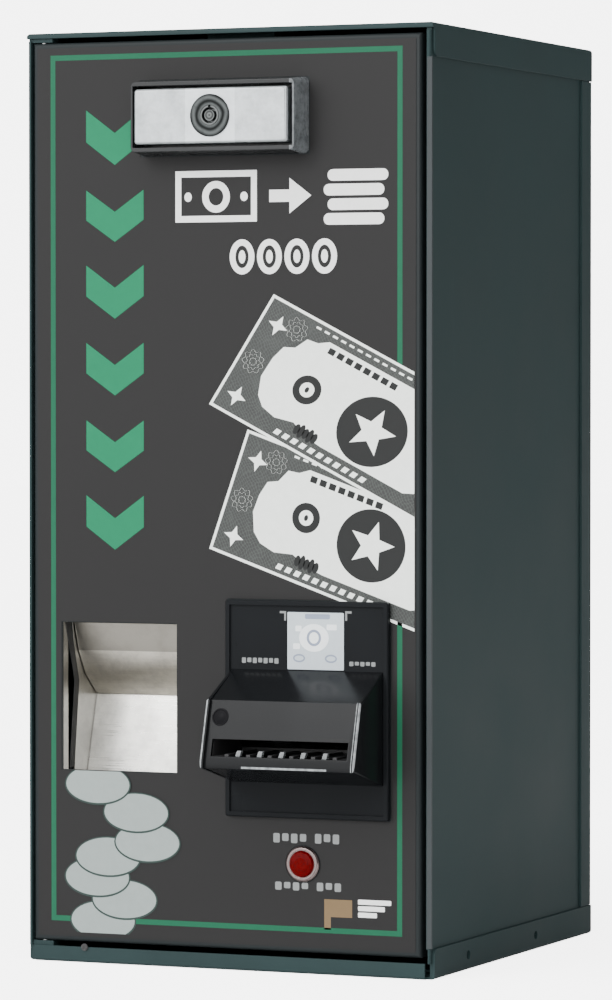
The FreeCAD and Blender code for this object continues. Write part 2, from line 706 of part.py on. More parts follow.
def top_cap():
    """Tray that opens downwards, with a narrow lip over the door."""
    cap = Piece("top_cap")
    low = P.cap_bottom
    cap.pad("XY", low, S.cabinet_height, rect(-P.half_width, P.half_width, P.front, P.rear))
    cap.soften(S.bend_radius, lambda edge: at(middle(edge).z, S.cabinet_height))
    cap.cut("XY", low, P.roof, rect(-P.panel_outer, P.panel_outer, P.door_skin, P.rear_inner))
    lip_low = S.cabinet_height - S.cap_lip
    over_door = rect(-P.panel_outer, P.panel_outer, P.front - OVERRUN, P.door_skin)
    cap.cut("XY", low - OVERRUN, lip_low, over_door)
    relief = P.front + S.corner_relief
    for side in (-1, 1):
        edge_x = P.panel_outer * side
        past_x = (P.half_width + OVERRUN) * side
        left, right = sorted((edge_x, past_x), key=lambda d: d.value)
        corner = rect(left, right, P.front - OVERRUN, relief)
        cap.cut("XY", low - OVERRUN, lip_low, corner)
    cap.soften(
        S.flange_corner,
        lambda edge: runs(edge, "X") and at(middle(edge).y, relief) and at(middle(edge).z, low),
    )
    keep("top_cap", cap.body)


def base_pan():
    """Tray that opens upwards, with a low front sill and the stand's bolt holes."""
    pan = Piece("base_pan")
    pan.pad("XY", 0, S.pan_flange, rect(-P.half_width, P.half_width, P.front, P.rear))
    pan.soften(S.bend_radius, lambda edge: at(middle(edge).z, 0))
    pan.cut("XY", P.deck, S.pan_flange, rect(-P.panel_outer, P.panel_outer, P.door_skin, P.rear_inner))
    above = S.pan_flange + OVERRUN
    pan.cut("XY", S.sill_lip, above, rect(-P.panel_outer, P.panel_outer, P.front - OVERRUN, P.door_skin))
    relief = P.front + S.corner_relief
    notch = P.panel_outer - S.corner_relief
    pan.cut("XY", -OVERRUN, above, rect(notch, P.half_width + OVERRUN, P.front - OVERRUN, relief))
    pan.cut("XY", -OVERRUN, above, rect(-P.half_width - OVERRUN, -notch, P.front - OVERRUN, relief))
    pan.soften(
        S.flange_corner,
        lambda edge: runs(edge, "X") and at(middle(edge).y, relief) and at(middle(edge).z, S.pan_flange),
    )
    bolt_x = P.half_width - S.base_hole_inset_side
    bolt_y = P.rear - S.base_hole_inset_end
    bolts = [(x, y, S.base_hole_radius) for x in (-bolt_x, bolt_x) for y in (-bolt_y, bolt_y)]
    pan.cut("XY", -OVERRUN, P.deck + OVERRUN, circles=bolts)
    pan.cut("YZ", -P.half_width - OVERRUN, P.half_width + OVERRUN, circles=side_holes())
    keep("base_pan", pan.body)


def side_holes():
    """Fixing holes through the pan's side flanges and the side panels behind them."""
    first = P.front + S.side_hole_front
    return [(y, S.side_hole_height, S.side_hole_radius) for y in (first, first + S.side_hole_pitch)]


def back_panel():
    """Plate with flanges that wrap forward over the side panels."""
    back = Piece("back_panel")
    low = S.pan_flange + S.seam
    high = P.cap_bottom - S.seam
    back.pad("XZ", P.rear - S.back_flange, P.rear, rect(-P.half_width, P.half_width, low, high))
    back.soften(S.bend_radius, lambda edge: runs(edge, "Z") and at(middle(edge).y, P.rear))
    back.cut("XZ", P.rear - S.back_flange, P.rear_inner, rect(-P.panel_outer, P.panel_outer, low, high))
    bolt_x = P.half_width - S.wall_hole_inset_side
    bolt_low = S.wall_hole_inset_end
    bolt_high = S.cabinet_height - S.wall_hole_inset_end
    bolts = [(x, z, S.wall_hole_radius) for x in (-bolt_x, bolt_x) for z in (bolt_low, bolt_high)]
    inlet = around(P.half_width - S.inlet_side, S.inlet_height, S.inlet_width, S.inlet_tall)
    back.cut("XZ", P.rear_inner - OVERRUN, P.rear + OVERRUN, inlet, circles=bolts)
    keep("back_panel", back.body)


def power_inlet():
    """Moulded mains inlet, flush in the back panel, with its three blades in the socket."""
    inlet = Piece("power_inlet")
    x, z = P.half_width - S.inlet_side, S.inlet_height
    flange = S.inlet_flange
    inner = P.rear_inner - S.inlet_depth
    half_width = S.inlet_width / 2 + flange
    half_tall = S.inlet_tall / 2 + flange
    face = rect(x - half_width, x + half_width, z - half_tall, z + half_tall)
    inlet.pad("XZ", P.rear_inner - flange, P.rear_inner, face)
    inlet.soften(flange, lambda edge: runs(edge, "Y"))
    inlet.pad("XZ", inner, P.rear, around(x, z, S.inlet_width, S.inlet_tall))
    socket = around(x, z, S.inlet_width - S.inlet_wall * 2, S.inlet_tall - S.inlet_wall * 2)
    floor = inner + S.inlet_wall
    inlet.cut("XZ", floor, P.rear + OVERRUN, socket)
    blades = [around(x + S.inlet_pin_pitch * step, z + rise, S.inlet_wall, S.inlet_wall * 2)
              for step, rise in ((-1, -S.inlet_wall), (0, S.inlet_wall), (1, -S.inlet_wall))]
    inlet.pad("XZ", floor, P.rear - S.inlet_wall * 2, *blades)
    keep("power_inlet", inlet.body)


def side_panel(label, side):
    """Side panel with welded flanges at the top, bottom and back; side is -1 left, 1 right."""
    panel = Piece(label)

    def span(inner, outer):
        return (dim(inner) * side, dim(outer) * side) if side > 0 else (-dim(outer), -dim(inner))

    flange_x = P.panel_inner - S.weld_flange
    low, high = span(flange_x, P.panel_outer)
    panel.pad("XY", P.deck, P.roof, rect(low, high, P.front, P.rear_inner))
    low, high = span(flange_x, P.panel_inner)
    hollow = rect(P.front, P.rear_inner - S.sheet, P.deck + S.sheet, P.roof - S.sheet)
    panel.cut("YZ", low, high, hollow)
    flangeless = rect(P.front, P.front + S.weld_flange_start, P.deck, P.roof)
    panel.cut("YZ", low, high, flangeless)
    if side > 0:
        front_low = S.pan_flange
        front_high = S.cabinet_height - S.cap_lip
        hem = rect(P.hem_inner, P.panel_inner, P.front, P.front + S.hem_depth)
        panel.pad("XY", front_low, front_high, hem)
        panel.soften(
            S.sheet - S.running_gap,
            lambda edge: runs(edge, "Z") and at(middle(edge).y, P.front)
            and (at(middle(edge).x, P.hem_inner) or at(middle(edge).x, P.panel_outer)),
        )
    # the lip of the cap and the sill of the pan take the place of the panel's front corners
    low, high = span(P.panel_inner - S.sheet - OVERRUN, P.panel_outer + OVERRUN)
    under_cap = rect(P.front - OVERRUN, P.front + S.sheet, P.roof - S.cap_lip, P.roof + OVERRUN)
    behind_sill = rect(P.front - OVERRUN, P.front + S.corner_relief, P.deck - OVERRUN, S.sill_lip)
    panel.cut("YZ", low, high, under_cap)
    panel.cut("YZ", low, high, behind_sill)
    low, high = span(P.panel_inner - OVERRUN, P.panel_outer + OVERRUN)
    panel.cut("YZ", low, high, circles=side_holes())
    keep(label, panel.body)


def latch_keeper():
    """Angle under the roof, whose lip holds the latch cam back."""
    keeper = Piece("latch_keeper")
    lip_back = P.keeper_front + S.sheet
    foot_back = P.keeper_front + S.keeper_foot
    low = P.roof - S.keeper_drop
    half = S.keeper_width / 2
    keeper.pad("YZ", P.handle_x - half, P.handle_x + half, [
        (P.keeper_front, low), (lip_back, low), (lip_back, P.roof - S.sheet),
        (foot_back, P.roof - S.sheet), (foot_back, P.roof), (P.keeper_front, P.roof),
    ])
    keep("latch_keeper", keeper.body)


def hinge_fixed_side():
    """Brackets on the pan and under the roof, with the door's two hinge pins."""
    block_y = (P.door_skin, P.hinge_y + S.hinge_block_back)
    block_x = (-P.panel_inner, P.hinge_x + S.hinge_block_side)
    bracket_top = P.door_bottom - S.clearance
    bracket_low = P.door_top + S.clearance
    brackets = []
    pins = []
    levels = (
        ("lower", P.deck, bracket_top, P.deck + S.sheet, P.door_bottom + S.hinge_pin_grip),
        ("upper", bracket_low, P.roof, P.door_top - S.hinge_pin_grip, P.roof - S.clearance),
    )
    for name, low, high, pin_low, pin_high in levels:
        bracket = Piece(f"{name}_hinge_bracket")
        bracket.pad("XY", low, high, rect(*block_x, *block_y))
        bore_low = max(low, pin_low, key=lambda d: d.value)
        bore_high = min(high, pin_high, key=lambda d: d.value)
        bracket.cut("XY", bore_low, bore_high, circles=[(P.hinge_x, P.hinge_y, S.hinge_pin_radius)])
        brackets.append(bracket.body)
        axis = (P.hinge_x, P.hinge_y)
        pins.append(rod(f"{name}_hinge_pin", "Z", axis, S.hinge_pin_radius, pin_low, pin_high))
    group("hinge_brackets", brackets)
    group("hinge_pins", pins)


# ---------------------------------------------------------------- door


def door_shell():
    """Shallow steel pan with the openings for everything that the door carries."""
    door = Piece("door_shell")
    outline = rect(P.door_left, P.door_right, P.door_bottom, P.door_top)
    door.pad("XZ", P.front, P.door_back, outline)
    door.soften(S.door_radius, lambda edge: at(middle(edge).y, P.front))
    inside = rect(P.door_left + S.sheet, P.door_right - S.sheet,
                  P.door_bottom + S.sheet, P.door_top - S.sheet)
    door.cut("XZ", P.door_skin, P.door_back, inside)
    coin_opening = rect(P.cup_left, P.cup_right, S.cup_bottom, P.cup_top)
    unit_opening = rect(
        P.unit_x - S.unit_width / 2 - S.clearance, P.unit_x + S.unit_width / 2 + S.clearance,
        P.base_bottom - S.clearance, P.head_top + S.clearance,
    )
    round_holes = [
        (P.handle_x, P.handle_z, S.housing_radius + S.clearance),
        (P.lamp_x, S.lamp_height, S.lamp_body_radius + S.running_gap),
    ]
    round_holes += [(x, z, S.stud_radius + S.running_gap) for x, z in plate_studs()]
    door.cut("XZ", P.front - OVERRUN, P.door_skin + OVERRUN, coin_opening, unit_opening, circles=round_holes)
    pin_hole = [(P.hinge_x, P.hinge_y, S.hinge_pin_radius + S.clearance)]
    door.cut("XY", P.door_bottom - OVERRUN, P.door_bottom + S.sheet, circles=pin_hole)
    door.cut("XY", P.door_top - S.sheet, P.door_top + OVERRUN, circles=pin_hole)
    studs = [(x, z, S.stud_radius) for x, z in cup_studs()]
    door.pad("XZ", P.door_skin, P.front + S.stud_reach, circles=studs)
    keep("door_shell", door.body)


def door_film():
    """Printed film on the door's face, with windows for what stands on the door."""
    film = Piece("door_film")
    margin = S.film_margin
    face = rect(P.door_left + margin, P.door_right - margin, P.door_bottom + margin, P.door_top - margin)
    film.pad("XZ", P.front - S.film, P.front, face)
    gap = S.clearance
    plate = rect(
        P.unit_x - S.plate_width / 2 - gap, P.unit_x + S.plate_width / 2 + gap,
        P.plate_bottom - gap, P.plate_bottom + S.plate_height + gap,
    )
    handle = around(
        P.handle_x, P.handle_z,
        S.frame_width + (S.frame_flare + gap) * 2, S.frame_height + (S.frame_flare + gap) * 2,
    )
    coins = rect(P.cup_left - gap, P.cup_right + gap, S.cup_bottom - gap, P.cup_top + gap)
    lamp = [(P.lamp_x, S.lamp_height, S.lamp_ring + gap)]
    film.cut("XZ", P.front - S.film - OVERRUN, P.front, plate, handle, coins, circles=lamp)
    keep("door_film", film.body)


def door_hinge_blocks():
    """Bored blocks in the door's left corners, which turn on the hinge pins."""
    blocks = []
    inner_bottom = P.door_bottom + S.sheet
    inner_top = P.door_top - S.sheet
    levels = (
        ("lower", inner_bottom, inner_bottom + S.hinge_block_height),
        ("upper", inner_top - S.hinge_block_height, inner_top),
    )
    for name, low, high in levels:
        piece = Piece(f"{name}_door_block")
        piece.pad("XY", low, high, rect(
            P.door_left + S.sheet, P.hinge_x + S.hinge_block_side,
            P.door_skin, P.hinge_y + S.hinge_block_back,
        ))
        piece.cut("XY", low, high, circles=[(P.hinge_x, P.hinge_y, P.pin_bore)])
        blocks.append(piece.body)
    group("door_hinge_blocks", blocks)


def door_stiffener():
    """Hat-shaped channel welded across the door skin, below the lamp."""
    channel = Piece("door_stiffener")
    steel = S.stiffener_sheet
    foot = S.stiffener_foot
    low = P.door_bottom + S.stiffener_low
    web_low = low + foot
    web_high = web_low + S.stiffener_web
    high = web_high + foot
    skin = P.door_skin
    crown = skin + S.stiffener_depth
    channel.pad("YZ", P.door_left + S.stiffener_end, P.door_right - S.stiffener_end, [
        (skin, low), (skin + steel, low), (skin + steel, web_low), (crown, web_low),
        (crown, web_high), (skin + steel, web_high), (skin + steel, high), (skin, high),
        (skin, web_high - steel), (crown - steel, web_high - steel),
        (crown - steel, web_low + steel), (skin, web_low + steel),
    ])
    keep("door_stiffener", channel.body)


# ---------------------------------------------------------------- locking handle


def handle_frame():
    """Die-cast frame: a flared rim round the bar's recess, and a threaded housing through the door."""
    frame = Piece("handle_frame")
    x, z = P.handle_x, P.handle_z
    root_half_width = S.frame_width / 2 + S.frame_flare
    root_half_height = S.frame_height / 2 + S.frame_flare
    frame.pad("XZ", P.frame_front, P.front, around(x, z, root_half_width * 2, root_half_height * 2))
    past = P.frame_front - OVERRUN
    for side in (-1, 1):
        near, root = x + S.frame_width / 2 * side, x + root_half_width * side
        beyond = root + OVERRUN * side
        frame.cut("XY", z - root_half_height - OVERRUN, z + root_half_height + OVERRUN, [
            (near, past), (near, P.frame_front), (root, P.front), (beyond, P.front), (beyond, past),
        ])
    for side in (-1, 1):
        near, root = z + S.frame_height / 2 * side, z + root_half_height * side
        beyond = root + OVERRUN * side
        frame.cut("YZ", x - root_half_width - OVERRUN, x + root_half_width + OVERRUN, [
            (past, near), (P.frame_front, near), (P.front, root), (P.front, beyond), (past, beyond),
        ])
    frame.soften(S.frame_corner, lambda edge: not any(runs(edge, axis) for axis in "XYZ"))
    recess = around(x, z, S.bar_width + S.bar_gap * 2, S.bar_height + S.bar_gap * 2)
    frame.cut("XZ", P.frame_front, P.recess_floor, recess)
    frame.pad("XZ", P.recess_floor, P.housing_end, circles=[(x, z, S.housing_radius)])
    bore = [(x, z, S.spindle_radius + S.running_gap)]
    frame.cut("XZ", P.recess_floor - OVERRUN, P.housing_end + OVERRUN, circles=bore)
    keep("handle_frame", frame.body)


def handle_nut():
    """Ring nut that clamps the handle frame to the door skin."""
    nut = Piece("handle_nut", at=(P.handle_x, 0, P.handle_z))
    low = P.door_skin
    nut.pad("XZ", low, low + S.ring_nut_thick, circles=[(0, 0, S.ring_nut_radius)])
    nut.cut("XZ", low, low + S.ring_nut_thick, circles=[(0, 0, S.housing_radius + S.running_gap)])
    flat = S.ring_nut_radius * math.cos(math.pi / 6)
    past = S.ring_nut_radius + OVERRUN
    for side in (-1, 1):
        cut = (flat, past) if side > 0 else (-past, -flat)
        nut.cut("XZ", low - OVERRUN, low + S.ring_nut_thick + OVERRUN, rect(-past, past, *cut))
    keep("handle_nut", nut.body)


def handle_bar():
    """Bar with finger undercuts at both ends and the round stem behind it."""
    bar = Piece("handle_bar")
    x, z = P.handle_x, P.handle_z
    bar.pad("XZ", P.bar_front, P.bar_back, around(x, z, S.bar_width, S.bar_height))
    bar.soften(S.bar_corner, lambda edge: runs(edge, "Y"))
    bar.soften(S.bar_corner / 2, lambda edge: at(middle(edge).y, P.bar_front), chamfer=True)
    for end in both_sides(x, S.bar_width / 2):
        inner = end + (S.bar_grip if end.value < x.value else -S.bar_grip)
        low, high = sorted((end, inner), key=lambda d: d.value)
        low, high = (low - OVERRUN, high) if end.value < x.value else (low, high + OVERRUN)
        grip = rect(low, high, P.bar_back - S.bar_grip, P.bar_back + OVERRUN)
        bar.cut("XY", z - S.bar_height, z + S.bar_height, grip)
    bar.pad("XZ", P.bar_back, P.stem_end, circles=[(x, z, S.stem_radius)])
    seat = S.cylinder_radius + S.running_gap
    bar.cut("XZ", P.bar_front - OVERRUN, P.bar_back - S.bar_floor_gap * 2, circles=[(x, z, seat)])
    keep("handle_bar", bar.body)


def lock_cylinder():
    """Round lock body in the bar, with its front collar and the plug's bore."""
    lock = Piece("lock_cylinder")
    x, z = P.handle_x, P.handle_z
    back = P.bar_back - S.bar_floor_gap * 2
    collar_front = P.bar_front - S.collar_thick
    lock.pad("XZ", P.bar_front, back, circles=[(x, z, S.cylinder_radius)])
    lock.pad("XZ", collar_front, P.bar_front, circles=[(x, z, S.cylinder_collar)])
    bore = [(x, z, S.plug_radius + S.running_gap)]
    lock.cut("XZ", collar_front - OVERRUN, collar_front + S.plug_length + S.clearance, circles=bore)
    keep("lock_cylinder", lock.body)


def key_plug():
    """Turning plug with a ring keyway and its notch."""
    plug = Piece("key_plug")
    x, z = P.handle_x, P.handle_z
    face = P.bar_front - S.collar_thick
    plug.pad("XZ", face, face + S.plug_length, circles=[(x, z, S.plug_radius)])
    ring = [(x, z, S.keyway_outer), (x, z, S.keyway_inner)]
    plug.cut("XZ", face - OVERRUN, face + S.keyway_depth, circles=ring)
    notch = rect(
        x - S.keyway_inner / 4, x + S.keyway_inner / 4,
        z + (S.keyway_inner + S.keyway_outer) / 2, z + S.plug_radius + OVERRUN,
    )
    plug.cut("XZ", face - OVERRUN, face + S.keyway_depth / 2, notch)
    keep("key_plug", plug.body)


def latch_spindle():
    """Tube in the handle's housing, stepped for the cam and closed at its end."""
    spindle = Piece("latch_spindle", at=(P.handle_x, 0, P.handle_z))
    bore = S.stem_radius + S.running_gap
    spindle.turn("Y", [
        (bore, P.spindle_front), (S.spindle_radius, P.spindle_front), (S.spindle_radius, P.cam_front),
        (S.spindle_neck, P.cam_front), (S.spindle_neck, P.spindle_end), (dim(0), P.spindle_end),
        (dim(0), P.spindle_end - S.spindle_cap), (bore, P.spindle_end - S.spindle_cap),
    ])
    keep("latch_spindle", spindle.body)


def latch_cam():
    """Lever on the spindle; it points left when unlatched and up when latched."""
    cam = Piece("latch_cam", at=(P.handle_x, 0, P.handle_z))
    low, high = P.cam_front, P.cam_back
    boss = S.spindle_neck + S.cam_thick * 2
    half = S.cam_width / 2
    cam.pad("XZ", low, high, circles=[(0, 0, boss)])
    cam.pad("XZ", low, high, [(-S.cam_reach, -half), (0, -boss / 2 - half / 2), (0, boss / 2 + half / 2),
                              (-S.cam_reach, half)])
    cam.cut("XZ", low - OVERRUN, high + OVERRUN, circles=[(0, 0, S.spindle_neck)])
    cam.soften(half / 2, lambda edge: runs(edge, "Y") and middle(edge).x < -S.cam_reach.value * 0.9)
    keep("latch_cam", cam.body)


def cam_nut():
    """Nut that holds the cam on the spindle."""
    nut = Piece("cam_nut", at=(P.handle_x, 0, P.handle_z))
    high = P.cam_back + S.cam_nut_thick
    nut.pad("XZ", P.cam_back, high, hexagon(S.spindle_neck + S.cam_thick * 1.4))
    nut.cut("XZ", P.cam_back, high, circles=[(0, 0, S.spindle_neck)])
    keep("cam_nut", nut.body)


# ---------------------------------------------------------------- validator front


def plate_studs():
    """Where the validator plate's studs stand."""
    half = S.plate_width / 2 - S.stud_inset
    low = P.plate_bottom + S.stud_inset
    high = P.plate_bottom + S.plate_height - S.stud_inset
    return [(x, z) for x in both_sides(P.unit_x, half) for z in (low, high)]


def cup_studs():
    """Where the door's welded studs pass the coin cup's flanges."""
    offset = S.cup_sheet + S.cup_flange / 2
    low = P.trough_floor + S.cup_flange
    return [(x, z) for x in (P.cup_left - offset, P.cup_right + offset) for z in (low, P.cup_top)]


def validator_plate():
    """Moulded front plate with a raised rim, a window for the note tray and four studs."""
    plate = Piece("validator_plate")
    left = P.unit_x - S.plate_width / 2
    right = P.unit_x + S.plate_width / 2
    low = P.plate_bottom
    high = low + S.plate_height
    rim_front = P.plate_front - S.rim_proud
    plate.pad("XZ", rim_front, P.front, rect(left, right, low, high))
    plate.soften(S.rim_proud, lambda edge: runs(edge, "Y"))
    plate.soften(S.rim_proud / 2, lambda edge: at(middle(edge).y, rim_front), chamfer=True)
    rim = S.rim_width
    plate.cut("XZ", rim_front, P.plate_front, rect(left + rim, right - rim, low + rim, high - rim))
    half = S.mouth_width / 2 + S.tray_thick
    window = rect(P.unit_x - half, P.unit_x + half, P.tray_bottom, S.note_height + S.mouth_height)
    plate.cut("XZ", P.plate_front - OVERRUN, P.front + OVERRUN, window)
    studs = [(x, z, S.stud_radius) for x, z in plate_studs()]
    plate.pad("XZ", P.front, P.front + S.stud_reach, circles=studs)
    keep("validator_plate", plate.body)


def door_nuts():
    """Like nuts on the validator plate's studs and on the studs that hold the coin cup."""
    nuts = []
    cup_flange = P.door_skin + S.cup_sheet
    seats = [(x, P.door_skin, z) for x, z in plate_studs()] + [(x, cup_flange, z) for x, z in cup_studs()]
    for number, (x, y, z) in enumerate(seats, start=1):
        nut = Piece(f"door_nut_{number}", at=(x, y, z))
        nut.pad("XZ", 0, S.nut_thick, hexagon(S.nut_radius, upright=True))
        nut.cut("XZ", 0, S.nut_thick, circles=[(0, 0, S.stud_radius + S.running_gap)])
        nuts.append(nut.body)
    group("door_nuts", nuts)


def snout():
    """Hollow moulded snout: sloping top, face that leans out to the mouth, and cheek plates."""
    piece = Piece("snout")
    half = S.snout_width / 2
    root = P.plate_front
    note = S.note_height
    wall = S.snout_wall
    face_grow = S.cheek_proud
    brow_y = P.front - S.brow_reach
    lip_y = P.front - S.lip_reach

    def profile(grow):
        return [
            (root, note - S.snout_fall), (root, note + S.snout_rise),
            (brow_y - grow, note + S.brow_rise), (lip_y - grow, note - S.lip_top),
            (lip_y - grow, note - S.lip_bottom),
        ]

    body_half = half - S.cheek_thick
    piece.pad("YZ", P.unit_x - body_half, P.unit_x + body_half, profile(dim(0)))
    for low, high in ((-half, -body_half), (body_half, half)):
        piece.pad("YZ", P.unit_x + low, P.unit_x + high, profile(face_grow))
    piece.soften(
        S.cheek_thick / 2,
        lambda edge: (at(middle(edge).x, P.unit_x - half) or at(middle(edge).x, P.unit_x + half))
        and not at(middle(edge).y, root),
    )
    hollow = [
        (root + OVERRUN, note - S.snout_fall + wall), (root + OVERRUN, note + S.snout_rise - wall),
        (root, note + S.snout_rise - wall), (brow_y + wall, note + S.brow_rise - wall),
        (lip_y + wall, note - S.lip_top), (lip_y + wall, note - S.lip_bottom + wall),
        (root, note - S.snout_fall + wall),
    ]
    inner_half = body_half - wall + S.cheek_thick
    piece.cut("YZ", P.unit_x - inner_half, P.unit_x + inner_half, hollow)
    mouth = around(P.unit_x, note, S.mouth_width, S.mouth_height)
    piece.cut("XZ", lip_y - OVERRUN * 3, brow_y + wall, mouth)
    keep("snout", piece.body)


def snout_inner(height):
    """Inside of the snout's leaning face at a height."""
    lip_top = S.note_height - S.lip_top
    return P.front - S.lip_reach + S.snout_wall + (height - lip_top) * P.snout_lean


def snout_tray():
    """Note tray from the leaning face to the validator, with side walls and guide ribs."""
    tray = Piece("snout_tray")
    half = S.mouth_width / 2
    outer = half + S.tray_thick
    top = S.note_height + S.mouth_height / 2
    low_front = snout_inner(P.tray_bottom) + S.clearance
    high_front = snout_inner(top) + S.clearance
    tray.pad("YZ", P.unit_x - outer, P.unit_x + outer, [
        (low_front, P.tray_bottom), (P.front, P.tray_bottom), (P.front, top), (high_front, top),
    ])
    trough = rect(low_front - OVERRUN, P.front + OVERRUN, P.tray_top, top)
    tray.cut("YZ", P.unit_x - half, P.unit_x + half, trough)
    ribs = []
    for step in range(MOUTH_LENSES + 1):
        x = P.unit_x + S.lens_pitch * (step - MOUTH_LENSES / 2)
        left, right = both_sides(x, S.tray_rib_width / 2)
        ribs.append(rect(left, right, P.tray_top, P.tray_top + S.tray_rib))
    tray.pad("XZ", snout_inner(P.tray_top + S.tray_rib) + S.clearance, P.front, *ribs)
    keep("snout_tray", tray.body)


def mouth_lenses():
    """Small clear lenses that light the mouth, between the tray's ribs."""
    lenses = []
    start = snout_inner(P.tray_top) + S.clearance * 2
    for step in range(MOUTH_LENSES):
        x = P.unit_x + S.lens_pitch * (step - (MOUTH_LENSES - 1) / 2)
        lens = Piece(f"mouth_lens_{step + 1}")
        half = S.lens_width / 2
        lens.pad("XZ", start, start + S.lens_width, [
            (x - half, P.tray_top), (x + half, P.tray_top),
            (x + half * 1.6, P.tray_top + S.lens_height), (x - half * 0.2, P.tray_top + S.lens_height),
        ])
        lenses.append(lens.body)
    group("mouth_lenses", lenses)


# ---------------------------------------------------------------- validator behind the door


def housing_windows():
    """Openings over the rollers and belts, shared by the two housings."""
    windows = []
    for y in (P.front_roller_y, P.rear_roller_y):
        for x in both_sides(P.unit_x, S.roller_spread):
            windows.append(around(x, y, S.roller_width + S.clearance * 2, S.feed_radius * 2))
    return windows


def validator_base():
    """Lower housing: deck with roller and belt windows, side walls that carry the shafts."""
    base = Piece("validator_base")
    wall = S.unit_wall
    left, right = both_sides(P.unit_x, S.unit_width / 2)
    base.pad("XY", P.base_bottom, P.base_top, rect(left, right, P.front, P.unit_back))
    inside = rect(left + wall, right - wall, P.front + wall, P.unit_back - wall)
    base.cut("XY", P.base_bottom + wall, P.base_top - wall, inside)
    belts = [
        rect(x - S.belt_width / 2 - S.clearance, x + S.belt_width / 2 + S.clearance,
             P.front_roller_y - S.feed_radius - S.belt_thick * 2,
             P.rear_roller_y + S.feed_radius + S.belt_thick * 2)
        for x in both_sides(P.unit_x, S.belt_spread)
    ]
    base.cut("XY", P.base_top - wall - S.clearance, P.base_top, *housing_windows(), *belts)
    shaft = S.roller_shaft + S.running_gap
    bores = [(y, P.feed_z, shaft) for y in (P.front_roller_y, P.rear_roller_y)]
    base.cut("YZ", left - OVERRUN, right + OVERRUN, circles=bores)
    motor_y, motor_z = feed_motor_place()
    base.cut("YZ", left - OVERRUN, left + wall, circles=[(motor_y, motor_z, S.pinion_shaft + S.clearance)])
    # upright guide at the back, which turns the note up behind the head
    back = P.unit_back
    base.pad("YZ", left, right, [
        (back - wall * 3, P.base_top), (back, P.base_top), (back, P.head_top),
        (back - wall, P.head_top), (back - wall, P.base_top + wall * 3),
    ])
    keep("validator_base", base.body)


def validator_head():
    """Upper housing with windows for the pinch rollers."""
    head = Piece("validator_head")
    wall = S.unit_wall
    left, right = both_sides(P.unit_x, S.unit_width / 2)
    back = P.unit_back - S.note_gap * 2.5
    head.pad("XY", P.head_bottom, P.head_top, rect(left, right, P.front, back))
    inside = rect(left + wall, right - wall, P.front + wall, back - wall)
    head.cut("XY", P.head_bottom + wall, P.head_top - wall, inside)
    head.cut("XY", P.head_bottom - OVERRUN, P.head_bottom + wall, *housing_windows())
    shaft = S.roller_shaft + S.running_gap
    bores = [(y, P.pinch_z, shaft) for y in (P.front_roller_y, P.rear_roller_y)]
    head.cut("YZ", left - OVERRUN, right + OVERRUN, circles=bores)
    keep("validator_head", head.body)


def roller(label, y, z, radius, left_end, drums=()):
    """Shaft with two rubber-faced rollers and, where given, the profile of belt drums between them."""
    piece = Piece(label, at=(P.unit_x, y, z))
    half = S.unit_width / 2
    inner = S.roller_spread - S.roller_width / 2
    outer = S.roller_spread + S.roller_width / 2
    shaft = S.roller_shaft
    piece.turn("X", [
        (dim(0), -left_end), (shaft, -left_end), (shaft, -outer), (radius, -outer), (radius, -inner),
        (shaft, -inner), *drums, (shaft, inner), (radius, inner), (radius, outer), (shaft, outer),
        (shaft, half), (dim(0), half),
    ])
    return piece


def rollers():
    """Feed rollers in the lower housing and pinch rollers above them."""
    half = S.unit_width / 2
    gear_end = half + S.clearance + S.feed_gear_thick
    pulley = S.feed_radius - S.belt_thick - S.nip
    drums = []
    for belt_x in both_sides(dim(0), S.belt_spread):
        low, high = both_sides(belt_x, S.belt_width / 2)
        drums += [(S.roller_shaft, low), (pulley, low), (pulley, high), (S.roller_shaft, high)]
    for label, y, end in (
        ("feed_roller_front", P.front_roller_y, half),
        ("feed_roller_rear", P.rear_roller_y, gear_end),
    ):
        keep(label, roller(label, y, P.feed_z, S.feed_radius, end, drums).body)
    for label, y in (("pinch_roller_front", P.front_roller_y), ("pinch_roller_rear", P.rear_roller_y)):
        keep(label, roller(label, y, P.pinch_z, S.pinch_radius, half).body)


def feed_belts():
    """Two flat belts round the feed rollers' drums."""
    belts = []
    inner = S.feed_radius - S.belt_thick
    for number, x in enumerate(both_sides(P.unit_x, S.belt_spread), start=1):
        belt = Piece(f"feed_belt_{number}")
        low, high = both_sides(x, S.belt_width / 2)
        front, back = P.front_roller_y, P.rear_roller_y
        ends = [(front, P.feed_z, S.feed_radius)], [(back, P.feed_z, S.feed_radius)]
        belt.pad("YZ", low, high, rect(front, back, P.feed_z - S.feed_radius, P.feed_z + S.feed_radius))
        for circles in ends:
            belt.pad("YZ", low, high, circles=circles)
        belt.cut("YZ", low, high, rect(front, back, P.feed_z - inner, P.feed_z + inner))
        for y in (front, back):
            belt.cut("YZ", low, high, circles=[(y, P.feed_z, inner)])
        belts.append(belt.body)
    group("feed_belts", belts)


def feed_motor_place():
    """Axis of the feed motor, one gear distance from the rear roller."""
    distance = S.feed_gear_module * (FEED_GEAR_TEETH + FEED_PINION_TEETH) / 2
    ahead = (distance * distance - S.motor_drop * S.motor_drop).root()
    return (P.rear_roller_y - ahead, P.feed_z - S.motor_drop)


def validator_motor():
    """Feed motor inside the lower housing, with a bored nose for its pinion shaft."""
    y, z = feed_motor_place()
    inner_left = P.unit_x - S.unit_width / 2 + S.unit_wall
    motor = Piece("validator_motor")
    motor.pad("YZ", inner_left, inner_left + S.motor_can_length, circles=[(y, z, S.motor_can_radius)])
    bore = [(y, z, S.pinion_shaft / 2 + S.running_gap)]
    motor.cut("YZ", inner_left - OVERRUN, inner_left + S.motor_can_length / 2, circles=bore)
    keep("validator_motor", motor.body)


